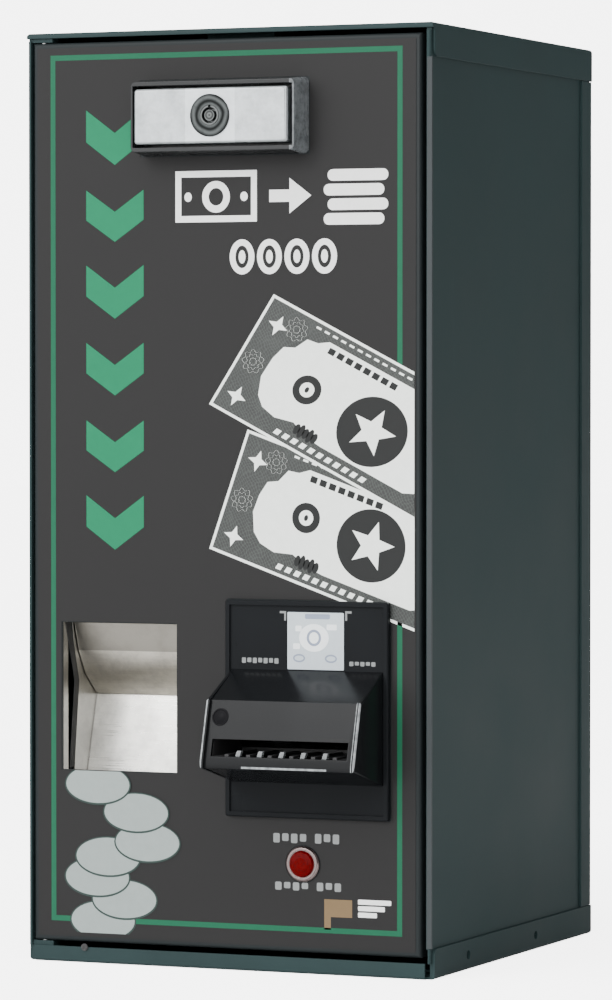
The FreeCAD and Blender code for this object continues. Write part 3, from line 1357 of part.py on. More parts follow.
def spur_gear(piece, plane, low, high, teeth, module):
    """Spur gear with straight-flanked teeth about the body's axis."""
    pitch = module * teeth / 2
    root = pitch - module * 1.25
    tip = pitch + module * 0.9
    sink = module * 0.6
    axis = {"XY": "Z", "YZ": "X", "XZ": "Y"}[plane]
    piece.pad(plane, low, high, circles=[(0, 0, root)])
    doc.recompute()
    piece.pad(plane, low, high, [
        (root - sink, -module * 1.12), (tip, -module * 0.38),
        (tip, module * 0.38), (root - sink, module * 1.12),
    ])
    piece.repeat(teeth, axis)


def feed_gears():
    """Gear on the rear feed roller's shaft, and the motor pinion that drives it."""
    gear_low = -(S.unit_width / 2 + S.clearance + S.feed_gear_thick)
    gear_high = gear_low + S.feed_gear_thick
    y, z = feed_motor_place()
    slope = math.degrees(math.atan2((z - P.feed_z).value, (y - P.rear_roller_y).value))
    gear = Piece("feed_gear", at=(P.unit_x, P.rear_roller_y, P.feed_z), turn=slope, about=V(1, 0, 0))
    spur_gear(gear, "YZ", gear_low, gear_high, FEED_GEAR_TEETH, S.feed_gear_module)
    gear.cut("YZ", gear_low, gear_high, circles=[(0, 0, S.roller_shaft)])
    keep("feed_gear", gear.body)
    half_tooth = 180.0 / FEED_PINION_TEETH
    pinion = Piece("feed_pinion", at=(P.unit_x, y, z), turn=slope + 180 + half_tooth, about=V(1, 0, 0))
    spur_gear(pinion, "YZ", gear_low, gear_high, FEED_PINION_TEETH, S.feed_gear_module)
    shaft_end = -(S.unit_width / 2) + S.unit_wall + S.motor_can_length / 3
    pinion.pad("YZ", gear_high, shaft_end, circles=[(0, 0, S.pinion_shaft / 2)])
    keep("feed_pinion", pinion.body)


def bill_box():
    """Steel box above the head that stores the notes; its lid lifts for emptying."""
    box = Piece("bill_box")
    wall = S.bill_box_wall
    half = S.bill_box_width / 2
    left, right = P.unit_x - half, P.unit_x + half
    back = P.unit_back
    box.pad("XY", P.head_top, P.box_top, rect(left, right, P.box_front, back))
    inside = rect(left + wall, right - wall, P.box_front + wall, back - wall)
    box.cut("XY", P.head_top + wall, P.box_top, inside)
    entry = rect(left + wall * 3, right - wall * 3, back - S.note_gap * 2.5, back - S.unit_wall)
    box.cut("XY", P.head_top - OVERRUN, P.head_top + wall, entry)
    over_pins = P.lid_pivot_z + S.lid_pin_radius * 1.4
    front_top = rect(P.box_front - OVERRUN, P.lid_pivot_y, over_pins, P.box_top + OVERRUN)
    box.cut("YZ", left - OVERRUN, right + OVERRUN, front_top)
    bore = [(P.lid_pivot_y, P.lid_pivot_z, S.lid_pin_radius + S.running_gap)]
    box.cut("YZ", left - OVERRUN, right + OVERRUN, circles=bore)
    keep("bill_box", box.body)


def bill_box_lid():
    """Lid with two ears, whose pins turn in the box's sides."""
    lid = Piece("bill_box_lid")
    wall = S.bill_box_wall
    half = S.bill_box_width / 2
    ear_low = half + S.clearance
    ear_high = ear_low + wall
    y, z = P.lid_pivot_y, P.lid_pivot_z
    front = P.box_front - S.clearance
    top = P.lid_under + wall
    lid.pad("XY", P.lid_under, top, rect(P.unit_x - ear_high, P.unit_x + ear_high, front, P.unit_back))
    for side in (-1, 1):
        low, high = (ear_low, ear_high) if side > 0 else (-ear_high, -ear_low)
        ear = rect(y - S.lid_ear, y + S.lid_ear, z - S.lid_ear, P.lid_under)
        lid.pad("YZ", P.unit_x + low, P.unit_x + high, ear)
        low, high = (half - wall, ear_low) if side > 0 else (-ear_low, wall - half)
        lid.pad("YZ", P.unit_x + low, P.unit_x + high, circles=[(y, z, S.lid_pin_radius)])
    keep("bill_box_lid", lid.body)


def pusher_plate():
    """Folded plate that presses each note onto the stack."""
    plate = Piece("pusher_plate")
    wall = S.bill_box_wall
    half = S.bill_box_width / 2 - wall - S.nip
    back = P.unit_back - wall - S.note_gap * 2.5
    front = back - S.pusher_flange
    low = P.head_top + wall + S.nip
    high = P.lid_pivot_z - S.lid_ear * 2
    steel = S.pusher_thick
    plate.pad("XY", low, high, [
        (P.unit_x - half, front), (P.unit_x + half, front), (P.unit_x + half, back),
        (P.unit_x + half - steel, back), (P.unit_x + half - steel, front + steel),
        (P.unit_x - half + steel, front + steel), (P.unit_x - half + steel, back), (P.unit_x - half, back),
    ])
    keep("pusher_plate", plate.body)


# ---------------------------------------------------------------- coin cup


def coin_cup():
    """Stainless cup: side walls, a scoop that slopes down to a trough, and fixing flanges."""
    cup = Piece("coin_cup")
    steel = S.cup_sheet
    skin = P.door_skin
    floor = P.trough_floor
    trough_y = P.front + S.trough_reach
    foot_y = P.front + S.scoop_low
    foot_z = S.cup_bottom - S.scoop_foot
    top_y = P.front + S.scoop_high
    top_z = P.scoop_top_z
    high = P.cup_top + S.cup_flange
    outer_left, outer_right = P.cup_left - steel, P.cup_right + steel
    cup.pad("YZ", outer_left, outer_right, [
        (skin, floor - steel), (trough_y, floor - steel), (foot_y + steel, foot_z - steel / 2),
        (top_y + steel, top_z), (skin + S.collar_depth * 2, high), (skin, high),
    ])
    cup.cut("YZ", P.cup_left, P.cup_right, [
        (skin + steel, floor), (trough_y, floor), (foot_y, foot_z), (top_y, top_z + OVERRUN / 2),
        (top_y, high + OVERRUN), (skin + steel, high + OVERRUN),
    ])
    # the door's opening shows the inside of the cup
    cup.cut("XZ", skin - OVERRUN, skin + steel, rect(P.cup_left, P.cup_right, S.cup_bottom, high + OVERRUN))
    # a tapering slot parts each side's front collar from the side wall
    slot_front = P.front + S.collar_depth
    slot_low = S.cup_bottom - S.scoop_foot / 2
    slot = [
        (slot_front, slot_low), (slot_front + S.collar_depth, slot_low),
        (slot_front + S.collar_depth * 1.6, S.cup_bottom + S.cup_height / 2),
        (slot_front + S.collar_depth * 0.7, P.cup_top), (slot_front, P.cup_top),
    ]
    cup.cut("YZ", outer_left - OVERRUN, outer_right + OVERRUN, slot)
    flange_low = floor + steel
    for side_flange in (
        rect(outer_left - S.cup_flange, outer_left, flange_low, high),
        rect(outer_right, outer_right + S.cup_flange, flange_low, high),
    ):
        cup.pad("XZ", skin, skin + steel, side_flange)
    studs = [(x, z, S.stud_radius + S.running_gap) for x, z in cup_studs()]
    cup.cut("XZ", skin, skin + steel, circles=studs)
    keep("coin_cup", cup.body)


def cup_baffle():
    """Folded stainless sheet above the scoop: coins fall behind it, and fingers can't reach up."""
    baffle = Piece("cup_baffle")
    steel = S.cup_sheet
    front = P.front
    low = S.cup_bottom
    seen = [
        (P.door_skin, P.cup_top + S.cup_flange * 2), (P.door_skin, P.cup_top + S.cup_flange),
        (front + S.baffle_tuck, P.cup_top - S.clearance * 2),
        (front + S.baffle_knee, low + S.baffle_knee_height),
        (front + S.baffle_shin, low + S.baffle_shin_height),
        (front + S.baffle_edge, low + S.baffle_edge_height),
    ]
    hidden = [(y + steel, z + steel * 0.8) for y, z in reversed(seen[1:])]
    hidden.append((P.door_skin + steel, P.cup_top + S.cup_flange * 2))
    gap = S.nip
    baffle.pad("YZ", P.cup_left + gap, P.cup_right - gap, [*seen, *hidden])
    keep("cup_baffle", baffle.body)


# ---------------------------------------------------------------- sold-out lamp


def lamp():
    """Panel lamp: body through the door, front ring, bevelled lens and rear nut."""
    x, z = P.lamp_x, S.lamp_height
    ring_front = P.front - S.lamp_ring_proud
    seat = S.lens_radius + S.running_gap
    ring = Piece("lamp_ring", at=(x, 0, z))
    ring.turn("Y", [
        (seat, P.front), (S.lamp_ring, P.front), (S.lamp_ring, ring_front + S.lamp_ring_proud / 2),
        (S.lamp_ring - S.lamp_ring_proud / 2, ring_front), (seat, ring_front),
    ])
    keep("lamp_ring", ring.body)
    lens = Piece("lamp_lens", at=(x, 0, z))
    lens_front = P.front - S.lens_proud
    rise = ring_front - lens_front
    lens.turn("Y", [
        (dim(0), P.front), (S.lens_radius, P.front), (S.lens_radius, ring_front),
        (S.lens_radius - rise / 2, lens_front + rise / 3), (S.lens_radius / 2, lens_front),
        (dim(0), lens_front),
    ])
    keep("lamp_lens", lens.body)
    holder = Piece("lamp_body", at=(x, 0, z))
    back = P.front + S.lamp_reach
    radius = S.lamp_body_radius
    holder.turn("Y", [(dim(0), P.front), (radius, P.front), (radius, back), (dim(0), back)])
    pins = [around(side * S.lamp_body_radius / 2, 0, S.film * 3, S.lamp_body_radius / 2) for side in (-1, 1)]
    holder.pad("XZ", back, back + S.lamp_body_radius, *pins)
    keep("lamp_body", holder.body)
    nut = Piece("lamp_nut", at=(x, 0, z))
    low, high = P.door_skin, P.door_skin + S.lamp_nut_thick
    nut.pad("XZ", low, high, hexagon(S.lamp_nut_radius))
    nut.cut("XZ", low, high, circles=[(0, 0, S.lamp_body_radius + S.running_gap)])
    keep("lamp_nut", nut.body)


# ---------------------------------------------------------------- coin hopper


def hopper_shelf():
    """Shelf across the cabinet, with its flanges down and an opening for the power switch."""
    shelf = Piece("hopper_shelf")
    back = P.rear_inner - S.sheet
    low = S.shelf_height - S.shelf_flange
    shelf.pad("XY", low, S.shelf_height, rect(-P.panel_inner, P.panel_inner, P.shelf_front, back))
    inner = P.panel_inner - S.sheet
    shelf.cut("XY", low, P.shelf_under, rect(-inner, inner, P.shelf_front + S.sheet, back - S.sheet))
    shaft_hole = [(P.idler_x, P.pinion_y, S.pinion_shaft + S.clearance)]
    shelf.cut("XY", P.shelf_under - OVERRUN, S.shelf_height + OVERRUN, circles=shaft_hole)
    switch = around(switch_x(), switch_z(), S.switch_width, S.switch_height)
    shelf.cut("XZ", P.shelf_front - OVERRUN, P.shelf_front + S.sheet, switch)
    keep("hopper_shelf", shelf.body)


def hopper_base():
    """Moulded base: round well for the disc, coin exit, and a gear chamber below."""
    base = Piece("hopper_base")
    wall = S.hopper_wall
    low, high = S.shelf_height, P.hopper_top
    outline = around(P.cup_x, P.hopper_y, S.hopper_width, S.hopper_depth)
    base.pad("XY", low, high, outline)
    base.soften(wall * 2, lambda edge: runs(edge, "Z"))
    chamber = around(P.cup_x, P.hopper_y, S.hopper_width - wall * 2, S.hopper_depth - wall * 2)
    base.cut("XY", low, P.well_floor - wall, chamber)
    base.cut("XY", P.well_floor, high, circles=[(P.cup_x, P.hopper_y, S.disc_radius + S.disc_gap)])
    slot_half = S.coin_slot_width / 2
    slot_top = P.well_floor + S.coin_slot_height
    exit_slot = rect(P.cup_x - slot_half, P.cup_x + slot_half, P.well_floor, slot_top)
    base.cut("XZ", P.hopper_front - OVERRUN, P.hopper_y - S.disc_radius * 0.8, exit_slot)
    centre_bore = [(P.cup_x, P.hopper_y, S.disc_shaft + S.running_gap)]
    base.cut("XY", P.well_floor - wall - OVERRUN, P.well_floor + OVERRUN, circles=centre_bore)
    pin = [(P.idler_x, P.hopper_y, S.idler_pin_radius)]
    base.pad("XY", P.gear_low - S.clearance, P.well_floor - wall, circles=pin)
    keep("hopper_base", base.body)


def hopper_disc():
    """Turning disc with coin pockets, a hub with stirring ribs and its shaft."""
    disc = Piece("hopper_disc", at=(P.cup_x, P.hopper_y, 0))
    low = P.well_floor + S.disc_lift
    high = low + S.disc_thick
    shaft = S.disc_shaft
    hub_top = high + S.disc_thick
    disc.turn("Z", [
        (dim(0), P.gear_low - S.clearance), (shaft, P.gear_low - S.clearance), (shaft, low),
        (S.disc_radius, low), (S.disc_radius, high), (S.disc_hub, high), (S.disc_hub, hub_top),
        (dim(0), hub_top),
    ])
    coin_hole = (S.coin_hole_circle, 0, S.coin_hole_radius)
    disc.cut("XY", low - S.disc_lift / 2, high + OVERRUN, circles=[coin_hole])
    disc.repeat(COIN_POCKETS)
    stirrer_length = S.stirrer_reach - S.disc_hub / 2
    stirrer = around(S.stirrer_reach / 2 + S.disc_hub / 4, 0, stirrer_length, S.stirrer_width)
    disc.pad("XY", high - S.disc_lift, high + S.disc_thick / 2, stirrer)
    disc.repeat(COIN_POCKETS)
    keep("hopper_disc", disc.body)


def hopper_gears():
    """Gear on the disc's shaft, idler on its pin and pinion on the motor's shaft."""
    low, high = P.gear_low, P.gear_high
    gear = Piece("disc_gear", at=(P.cup_x, P.hopper_y, 0))
    spur_gear(gear, "XY", low, high, DISC_GEAR_TEETH, S.gear_module)
    gear.cut("XY", low, high, circles=[(0, 0, S.disc_shaft)])
    keep("disc_gear", gear.body)
    idler = Piece("idler_gear", at=(P.idler_x, P.hopper_y, 0), turn=180.0 / IDLER_TEETH)
    spur_gear(idler, "XY", low, high, IDLER_TEETH, S.gear_module)
    idler.cut("XY", low, high, circles=[(0, 0, S.idler_pin_radius + S.running_gap)])
    keep("idler_gear", idler.body)
    pinion = Piece("hopper_pinion", at=(P.idler_x, P.pinion_y, 0))
    spur_gear(pinion, "XY", low, high, HOPPER_PINION_TEETH, S.gear_module)
    shaft_low = P.shelf_under - S.hopper_motor_length / 3
    pinion.pad("XY", shaft_low, low, circles=[(0, 0, S.pinion_shaft)])
    keep("hopper_pinion", pinion.body)


def hopper_motor():
    """Geared motor under the shelf."""
    motor = Piece("hopper_motor", at=(P.idler_x, P.pinion_y, 0))
    top = P.shelf_under
    low = top - S.hopper_motor_length
    radius = S.hopper_motor_radius
    waist = top - S.hopper_motor_length / 3
    motor.turn("Z", [
        (dim(0), low), (radius - S.sheet * 2, low), (radius - S.sheet * 2, waist), (radius, waist),
        (radius, top),
        (dim(0), top),
    ])
    bore = [(0, 0, S.pinion_shaft + S.running_gap)]
    motor.cut("XY", waist - S.clearance, top + OVERRUN, circles=bore)
    keep("hopper_motor", motor.body)


def funnel(label, inset):
    """A four-sided funnel with bevelled corners, set in by a length from the bowl's outside."""
    piece = Piece(label)
    low = P.hopper_top
    top = low + S.bowl_height
    mouth = S.bowl_mouth + S.bowl_wall - inset
    left = -P.panel_inner + S.bowl_side_gap + inset
    right = -P.panel_inner + S.bowl_side_gap + S.bowl_width - inset
    front = P.hopper_front + S.clearance * 2 + inset
    back = P.rear_inner - S.sheet - S.bowl_side_gap - inset
    piece.pad("XZ", front, back, [(P.cup_x - mouth, low), (P.cup_x + mouth, low), (right, top), (left, top)])
    for root, edge, past in (
        (P.hopper_y - mouth, front, front - OVERRUN), (P.hopper_y + mouth, back, back + OVERRUN),
    ):
        piece.cut("YZ", left - OVERRUN, right + OVERRUN, [
            (past, low - OVERRUN), (root, low - OVERRUN), (root, low), (edge, top), (past, top),
        ])
    piece.soften(
        S.bowl_chamfer - inset * (2 - math.sqrt(2)),
        lambda edge: not any(runs(edge, axis) for axis in "XYZ"), chamfer=True,
    )
    return piece


def hopper_bowl():
    """Funnel that widens from the disc's well to the space above it, on its flat foot."""
    outside = funnel("bowl_outside", dim(0))
    foot = around(P.cup_x, P.hopper_y, S.hopper_width, S.hopper_depth)
    outside.pad("XY", P.hopper_top, P.hopper_top + S.bowl_flange, foot)
    bowl = doc.addObject("Part::Cut", "hopper_bowl")
    bowl.Base = outside.body
    bowl.Tool = funnel("bowl_inside", S.bowl_wall).body
    keep("hopper_bowl", bowl)


def coin_chute():
    """Open channel from the hopper's exit down to the coin cup."""
    chute = Piece("coin_chute")
    steel = S.chute_sheet
    half = S.chute_width / 2
    back = P.hopper_front
    mouth = P.front + S.scoop_high + S.cup_sheet + S.chute_gap
    top = P.well_floor
    low = top - S.chute_fall
    side = S.chute_side
    chute.pad("YZ", P.cup_x - half, P.cup_x + half, [
        (back, top - steel), (back, top + side), (mouth, low + side), (mouth, low - steel),
    ])
    inner = half - steel
    chute.cut("YZ", P.cup_x - inner, P.cup_x + inner, [
        (back + OVERRUN, top + S.sheet), (back + OVERRUN, top + side + OVERRUN * 2),
        (mouth - OVERRUN, low + side + OVERRUN), (mouth - OVERRUN, low - S.sheet), (mouth, low), (back, top),
    ])
    keep("coin_chute", chute.body)


def exit_sensor():
    """Sensor block over the hopper's coin exit."""
    half = S.coin_slot_width / 2
    low = P.well_floor + S.coin_slot_height + S.clearance * 2
    keep("exit_sensor", block(
        "exit_sensor", (P.cup_x - half, P.cup_x + half), (P.hopper_front - S.sensor_depth, P.hopper_front),
        (low, low + S.sensor_height),
    ))


# ---------------------------------------------------------------- electrics


def control_board():
    """Control board on the right panel, with its larger components, and its four standoffs."""
    right = P.panel_inner - S.standoff
    left = right - S.board_thick
    back = P.rear - S.board_setback
    front = back - S.board_width
    low = S.board_bottom
    high = low + S.board_height
    board = Piece("control_board")
    board.pad("YZ", left, right, rect(front, back, low, high))
    for name, *_ in COMPONENTS:
        tall, along, length, up, height = (
            getattr(S, f"{name}_{quality}") for quality in ("tall", "along", "length", "up", "height")
        )
        outline = rect(front + along, front + along + length, low + up, low + up + height)
        board.pad("YZ", left - tall, left, outline)
    first = front + S.capacitor_along
    capacitors = [(y, low + S.capacitor_up, S.capacitor_radius) for y in (first, first + S.capacitor_pitch)]
    board.pad("YZ", left - S.capacitor_tall, left, circles=capacitors)
    keep("control_board", board.body)
    posts = []
    for y in (front + S.standoff_inset, back - S.standoff_inset):
        for z in (low + S.standoff_inset, high - S.standoff_inset):
            post = Piece("standoff")
            post.pad("YZ", right, P.panel_inner, hexagon(S.standoff_radius, y, z))
            posts.append(post.body)
    group("board_standoffs", posts)


def transformer():
    """Potted transformer on the shelf: laminated core round its winding, and two feet."""
    right = P.panel_inner - S.transformer_side
    left = right - S.core_width
    front = P.shelf_front + S.transformer_setback
    back = front + S.core_depth
    low = S.shelf_height
    leg = S.core_leg
    core = Piece("transformer")
    core.pad("XZ", front, back, rect(left, right, low, low + S.core_height))
    winding = rect(left + leg, right - leg, low + leg, low + S.core_height - leg)
    core.pad("XZ", front - S.coil_overhang, back + S.coil_overhang, winding)
    core.soften(
        S.coil_overhang / 3,
        lambda edge: runs(edge, "Y") and not front.value < middle(edge).y < back.value,
    )
    foot = rect(left - leg, right + leg, front + leg, back - leg)
    core.pad("XY", low, low + S.sheet, foot)
    keep("transformer", core.body)


def switch_x():
    """Middle of the power switch."""
    return P.panel_inner - S.switch_side


def switch_z():
    """Height of the power switch, in the shelf's front flange."""
    return S.shelf_height - S.shelf_flange / 2 - S.sheet / 2


def power_switch():
    """Rocker switch in the shelf's front flange."""
    body = Piece("switch_body")
    x, z = switch_x(), switch_z()
    front = P.shelf_front
    back = front + S.switch_depth
    wall = S.sheet
    body.pad("XZ", front, back, around(x, z, S.switch_width, S.switch_height))
    inner = around(x, z, S.switch_width - wall * 2, S.switch_height - wall * 2)
    body.cut("XZ", front, front + S.switch_depth * 0.7, inner)
    pivot_y = front + S.switch_height / 2
    half_body = S.switch_width / 2
    pivot = [(pivot_y, z, S.rocker_pin + S.running_gap)]
    body.cut("YZ", x - half_body - OVERRUN, x + half_body + OVERRUN, circles=pivot)
    keep("switch_body", body.body)
    rocker = Piece(
        "switch_rocker", at=(x, pivot_y, z), turn=-ROCKER_TILT, about=V(1, 0, 0),
    )
    half = S.switch_width / 2 - wall - S.rocker_gap
    reach = S.rocker_reach
    rise = reach * 0.4
    rocker.pad("YZ", -half, half, [
        (-reach, -rise), (-reach * 0.8, 0), (-reach, rise), (rise, rise), (rise * 1.4, 0), (rise, -rise),
    ])
    pin_end = half_body - S.rocker_gap
    rocker.pad("YZ", -pin_end, pin_end, circles=[(0, 0, S.rocker_pin)])
    keep("switch_rocker", rocker.body)


# ---------------------------------------------------------------- make and check


def build():
    """Make every sub-part."""
    top_cap()
    base_pan()
    back_panel()
    power_inlet()
    side_panel("left_side_panel", -1)
    side_panel("right_side_panel", 1)
    latch_keeper()
    hinge_fixed_side()
    door_shell()
    door_film()
    door_hinge_blocks()
    door_stiffener()
    handle_frame()
    handle_nut()
    handle_bar()
    lock_cylinder()
    key_plug()
    latch_spindle()
    latch_cam()
    cam_nut()
    validator_plate()
    door_nuts()
    snout()
    snout_tray()
    mouth_lenses()
    validator_base()
    validator_head()
    rollers()
    feed_belts()
    validator_motor()
    feed_gears()
    bill_box()
    bill_box_lid()
    pusher_plate()
    coin_cup()
    cup_baffle()
    lamp()
    hopper_shelf()
    hopper_base()
    hopper_disc()
    hopper_gears()
    hopper_motor()
    hopper_bowl()
    coin_chute()
    exit_sensor()
    control_board()
    transformer()
    power_switch()


def check():
    """Stop on any failed feature or unsound sub-part."""
    faults = []
    for item in doc.Objects:
        if "Invalid" in item.State or "Error" in item.State:
            faults.append(f"{item.Label}: {item.State}")
    for label, (shaped, solids) in SOLIDS.items():
        shape = shaped.Shape
        if shape.isNull() or not shape.isValid() or len(shape.Solids) != solids:
            faults.append(f"{label}: shape is not {solids} sound solid(s)")
    if faults:
        raise RuntimeError("; ".join(faults))


def export():
    """Write each sub-part to its own STEP file."""
    os.makedirs("parts", exist_ok=True)
    for label, (shaped, _) in SOLIDS.items():
        shaped.Shape.exportStep(f"parts/{label}.step")


build()
doc.recompute()
check()
export()
print(f"{len(SOLIDS)} sub-parts")
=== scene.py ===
"""Dresses the coin changer: its finishes, printed door, fittings, studio and camera.

Everything is in metres in the part's own frame: +Z up, the front faces -Y, and the origin is the
centre of the cabinet's underside. Sizes in the classes below are in millimetres.
"""

import logging
import math
from dataclasses import dataclass
from enum import Enum
from typing import Optional, Sequence

import bmesh
import bpy
from mathutils import Matrix, Vector


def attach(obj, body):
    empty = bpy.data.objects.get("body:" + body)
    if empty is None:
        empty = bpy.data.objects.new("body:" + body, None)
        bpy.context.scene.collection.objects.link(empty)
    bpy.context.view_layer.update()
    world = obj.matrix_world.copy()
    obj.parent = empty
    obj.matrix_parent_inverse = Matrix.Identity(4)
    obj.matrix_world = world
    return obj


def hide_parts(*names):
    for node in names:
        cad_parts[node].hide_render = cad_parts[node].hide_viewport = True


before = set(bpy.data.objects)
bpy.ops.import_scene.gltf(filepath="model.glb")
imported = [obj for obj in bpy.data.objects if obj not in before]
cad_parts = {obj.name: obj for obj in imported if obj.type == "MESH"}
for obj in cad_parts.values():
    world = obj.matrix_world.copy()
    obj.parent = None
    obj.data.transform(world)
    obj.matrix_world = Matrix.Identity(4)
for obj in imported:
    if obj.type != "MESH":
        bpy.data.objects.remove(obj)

log = logging.getLogger("coin_changer")

MM = 0.001
Point = tuple[float, float]
Triple = tuple[float, float, float]
Colour = Triple
Socket = bpy.types.NodeSocket
Node = bpy.types.Node
Piece = bpy.types.Object
Shape = bmesh.types.BMesh


class Axis(Enum):
    """One of the three axes, by its index."""

    X = 0
    Y = 1
    Z = 2


class Grain(Enum):
    """Which way a brushed grain runs, as stretch factors of its noise."""

    ALONG_X = (0.02, 1.0, 1.0)
    ALONG_Z = (1.0, 1.0, 0.02)
    CROSSED = (1.0, 1.0, 1.0)


# ---------------------------------------------------------------- node graphs


class Graph:
    """Writes nodes into a node tree."""

    prefix = "ShaderNode"

    def __init__(self, tree: bpy.types.NodeTree) -> None:
        """Write into a given tree."""
        self.tree = tree

    def feed(self, socket: Socket, value: object) -> None:
        """Fill a socket from an output, from a node's first output or with a plain value."""
        if isinstance(value, Node):
            value = value.outputs[0]
        if isinstance(value, Socket):
            self.tree.links.new(value, socket)
        else:
            socket.default_value = (*value, 1.0) if socket.type == "RGBA" else value

    def node(self, kind: str, *values: object, settings: Optional[dict[str, object]] = None,
             **named: object) -> Node:
        """Add a node.

        Args:
            kind: The node's type, in full or without this graph's prefix.
            *values: What feeds the first inputs, in order; None leaves one as it is.
            settings: The node's own properties.
            **named: Input name, with underscores for spaces, to what feeds it.

        Returns:
            The node.
        """
        full = kind if kind.startswith(("Shader", "Function")) else self.prefix + kind
        node = self.tree.nodes.new(full)
        for name, value in (settings or {}).items():
            setattr(node, name, value)
        for socket, value in zip(node.inputs, values):
            if value is not None:
                self.feed(socket, value)
        for name, value in named.items():
            self.feed(node.inputs[name.replace("_", " ")], value)
        return node

    def math(self, operation: str, *values: object) -> Node:
        """Add a math node on numbers, nodes or outputs."""
        return self.node("ShaderNodeMath", *values, settings={"operation": operation})

    def spread(self, factor: object, low: object, high: float, start: float = 0.0, end: float = 1.0) -> Node:
        """Map a factor's range from start to end onto low to high."""
        return self.node("ShaderNodeMapRange", factor, start, end, low, high)


def shade(colour: Colour, factor: float) -> Colour:
    """A colour made lighter or darker by a factor."""
    return tuple(min(channel * factor, 1.0) for channel in colour)


class Shading(Graph):
    """Writes the nodes of one material in object coordinates."""

    def __init__(self, name: str, colour: Colour, roughness: float) -> None:
        """Start a material with one surface shader.

        Args:
            name: Name of the material.
            colour: Its colour, which tone() and over() take shares of.
            roughness: Its roughness, which rough() varies.
        """
        self.material = bpy.data.materials.new(name)
        self.material.use_nodes = True
        super().__init__(self.material.node_tree)
        self.tree.nodes.clear()
        self.colour, self.roughness = colour, roughness
        self.surface = self.node("BsdfPrincipled")
        self.node("OutputMaterial", self.surface)
        self.place = self.node("TexCoord").outputs["Object"]
        self.set(Base_Color=colour, Roughness=roughness)

    def set(self, **values: object) -> None:
        """Feed inputs of the surface shader; underscores stand for spaces."""
        for name, value in values.items():
            self.feed(self.surface.inputs[name.replace("_", " ")], value)

    def mapped(self, scale: Triple = (1, 1, 1), shift: Triple = (0, 0, 0), turn: Triple = (0, 0, 0)) -> Node:
        """Coordinates scaled, moved in metres and turned in degrees."""
        angles = [math.radians(angle) for angle in turn]
        return self.node("Mapping", self.place, Scale=scale, Location=shift, Rotation=angles)

    def about(self, centre: Point) -> Node:
        """Coordinates with their origin at an (x, z) place in millimetres."""
        return self.mapped(shift=(-centre[0] * MM, 0.0, -centre[1] * MM))

    def noise(self, scale: float, detail: float = 3.0, roughness: float = 0.55,
              vector: Optional[Node] = None) -> Node:
        """Noise in cycles per metre.

        Args:
            scale: Cycles per metre.
            detail: Octaves.
            roughness: Weight of the finer octaves.
            vector: Coordinates; the object's own where none are given.

        Returns:
            The noise node.
        """
        return self.node("TexNoise", Scale=scale, Detail=detail, Roughness=roughness,
                         Vector=vector or self.place)

    def cells(self, scale: float, vector: Optional[Node] = None) -> Node:
        """Distance within a cell pattern."""
        return self.node("TexVoronoi", Scale=scale, Vector=vector or self.place)

    def waves(self, scale: float, axis: Axis, distortion: float = 0.0, rings: bool = False,
              vector: Optional[Node] = None) -> Socket:
        """Bands across an axis, or rings about it; there are about three lines to a unit of scale."""
        kind = "rings" if rings else "bands"
        settings = {"wave_type": kind.upper(), f"{kind}_direction": axis.name}
        return self.node("TexWave", settings=settings, Scale=scale, Distortion=distortion,
                         Vector=vector or self.place).outputs["Fac"]

    def over(self, factor: object, base: object, top: "Colour | float") -> Socket:
        """Lay a colour, or a share of the material's own, over a base by a factor."""
        node = self.node("Mix", factor, settings={"data_type": "RGBA"})
        self.feed(node.inputs[6], base)
        self.feed(node.inputs[7], shade(self.colour, top) if isinstance(top, float) else top)
        return node.outputs[2]

    def tone(self, factor: object, low: float, high: float) -> Socket:
        """The material's colour, from one share of it to another by a factor."""
        return self.over(factor, shade(self.colour, low), high)

    def rough(self, factor: object, less: float, more: float, start: float = 0.0, end: float = 1.0) -> None:
        """Vary the roughness by a factor, from less under it to more over it."""
        self.set(Roughness=self.spread(factor, self.roughness - less, self.roughness + more, start, end))

    def bump(self, height: object, depth: float, strength: float) -> None:
        """Give the surface a bump with a depth in metres."""
        self.set(Normal=self.node("Bump", Strength=strength, Distance=depth, Height=height))

    def near(self, axis: Axis, centre: float, half: float) -> Node:
        """Mask of one coordinate within a half width of a centre, in millimetres."""
        apart = self.node("SeparateXYZ", self.place)
        return self.math("COMPARE", apart.outputs[axis.value], centre * MM, half * MM)

    def below(self, normal: Triple, distance: float) -> Node:
        """Mask of the side of a plane that its normal points away from; the distance is in millimetres."""
        along = self.node("VectorMath", self.place, normal, settings={"operation": "DOT_PRODUCT"})
        return self.math("LESS_THAN", along.outputs["Value"], distance * MM)


# ---------------------------------------------------------------- finishes


@dataclass(frozen=True)
class Finish:
    """A finish with a name, a colour and a roughness."""

    name: str
    colour: Colour
    roughness: float = 0.4

    def material(self) -> bpy.types.Material:
        """The finish's material, made on its first use.

        Returns:
            The material.
        """
        made = bpy.data.materials.get(f"{self.name}_finish")
        if made is None:
            shading = Shading(f"{self.name}_finish", self.colour, self.roughness)
            self.dress(shading)
            made = shading.material
        return made

    def dress(self, shading: Shading) -> None:
        """Add the finish's own nodes."""
        raise NotImplementedError


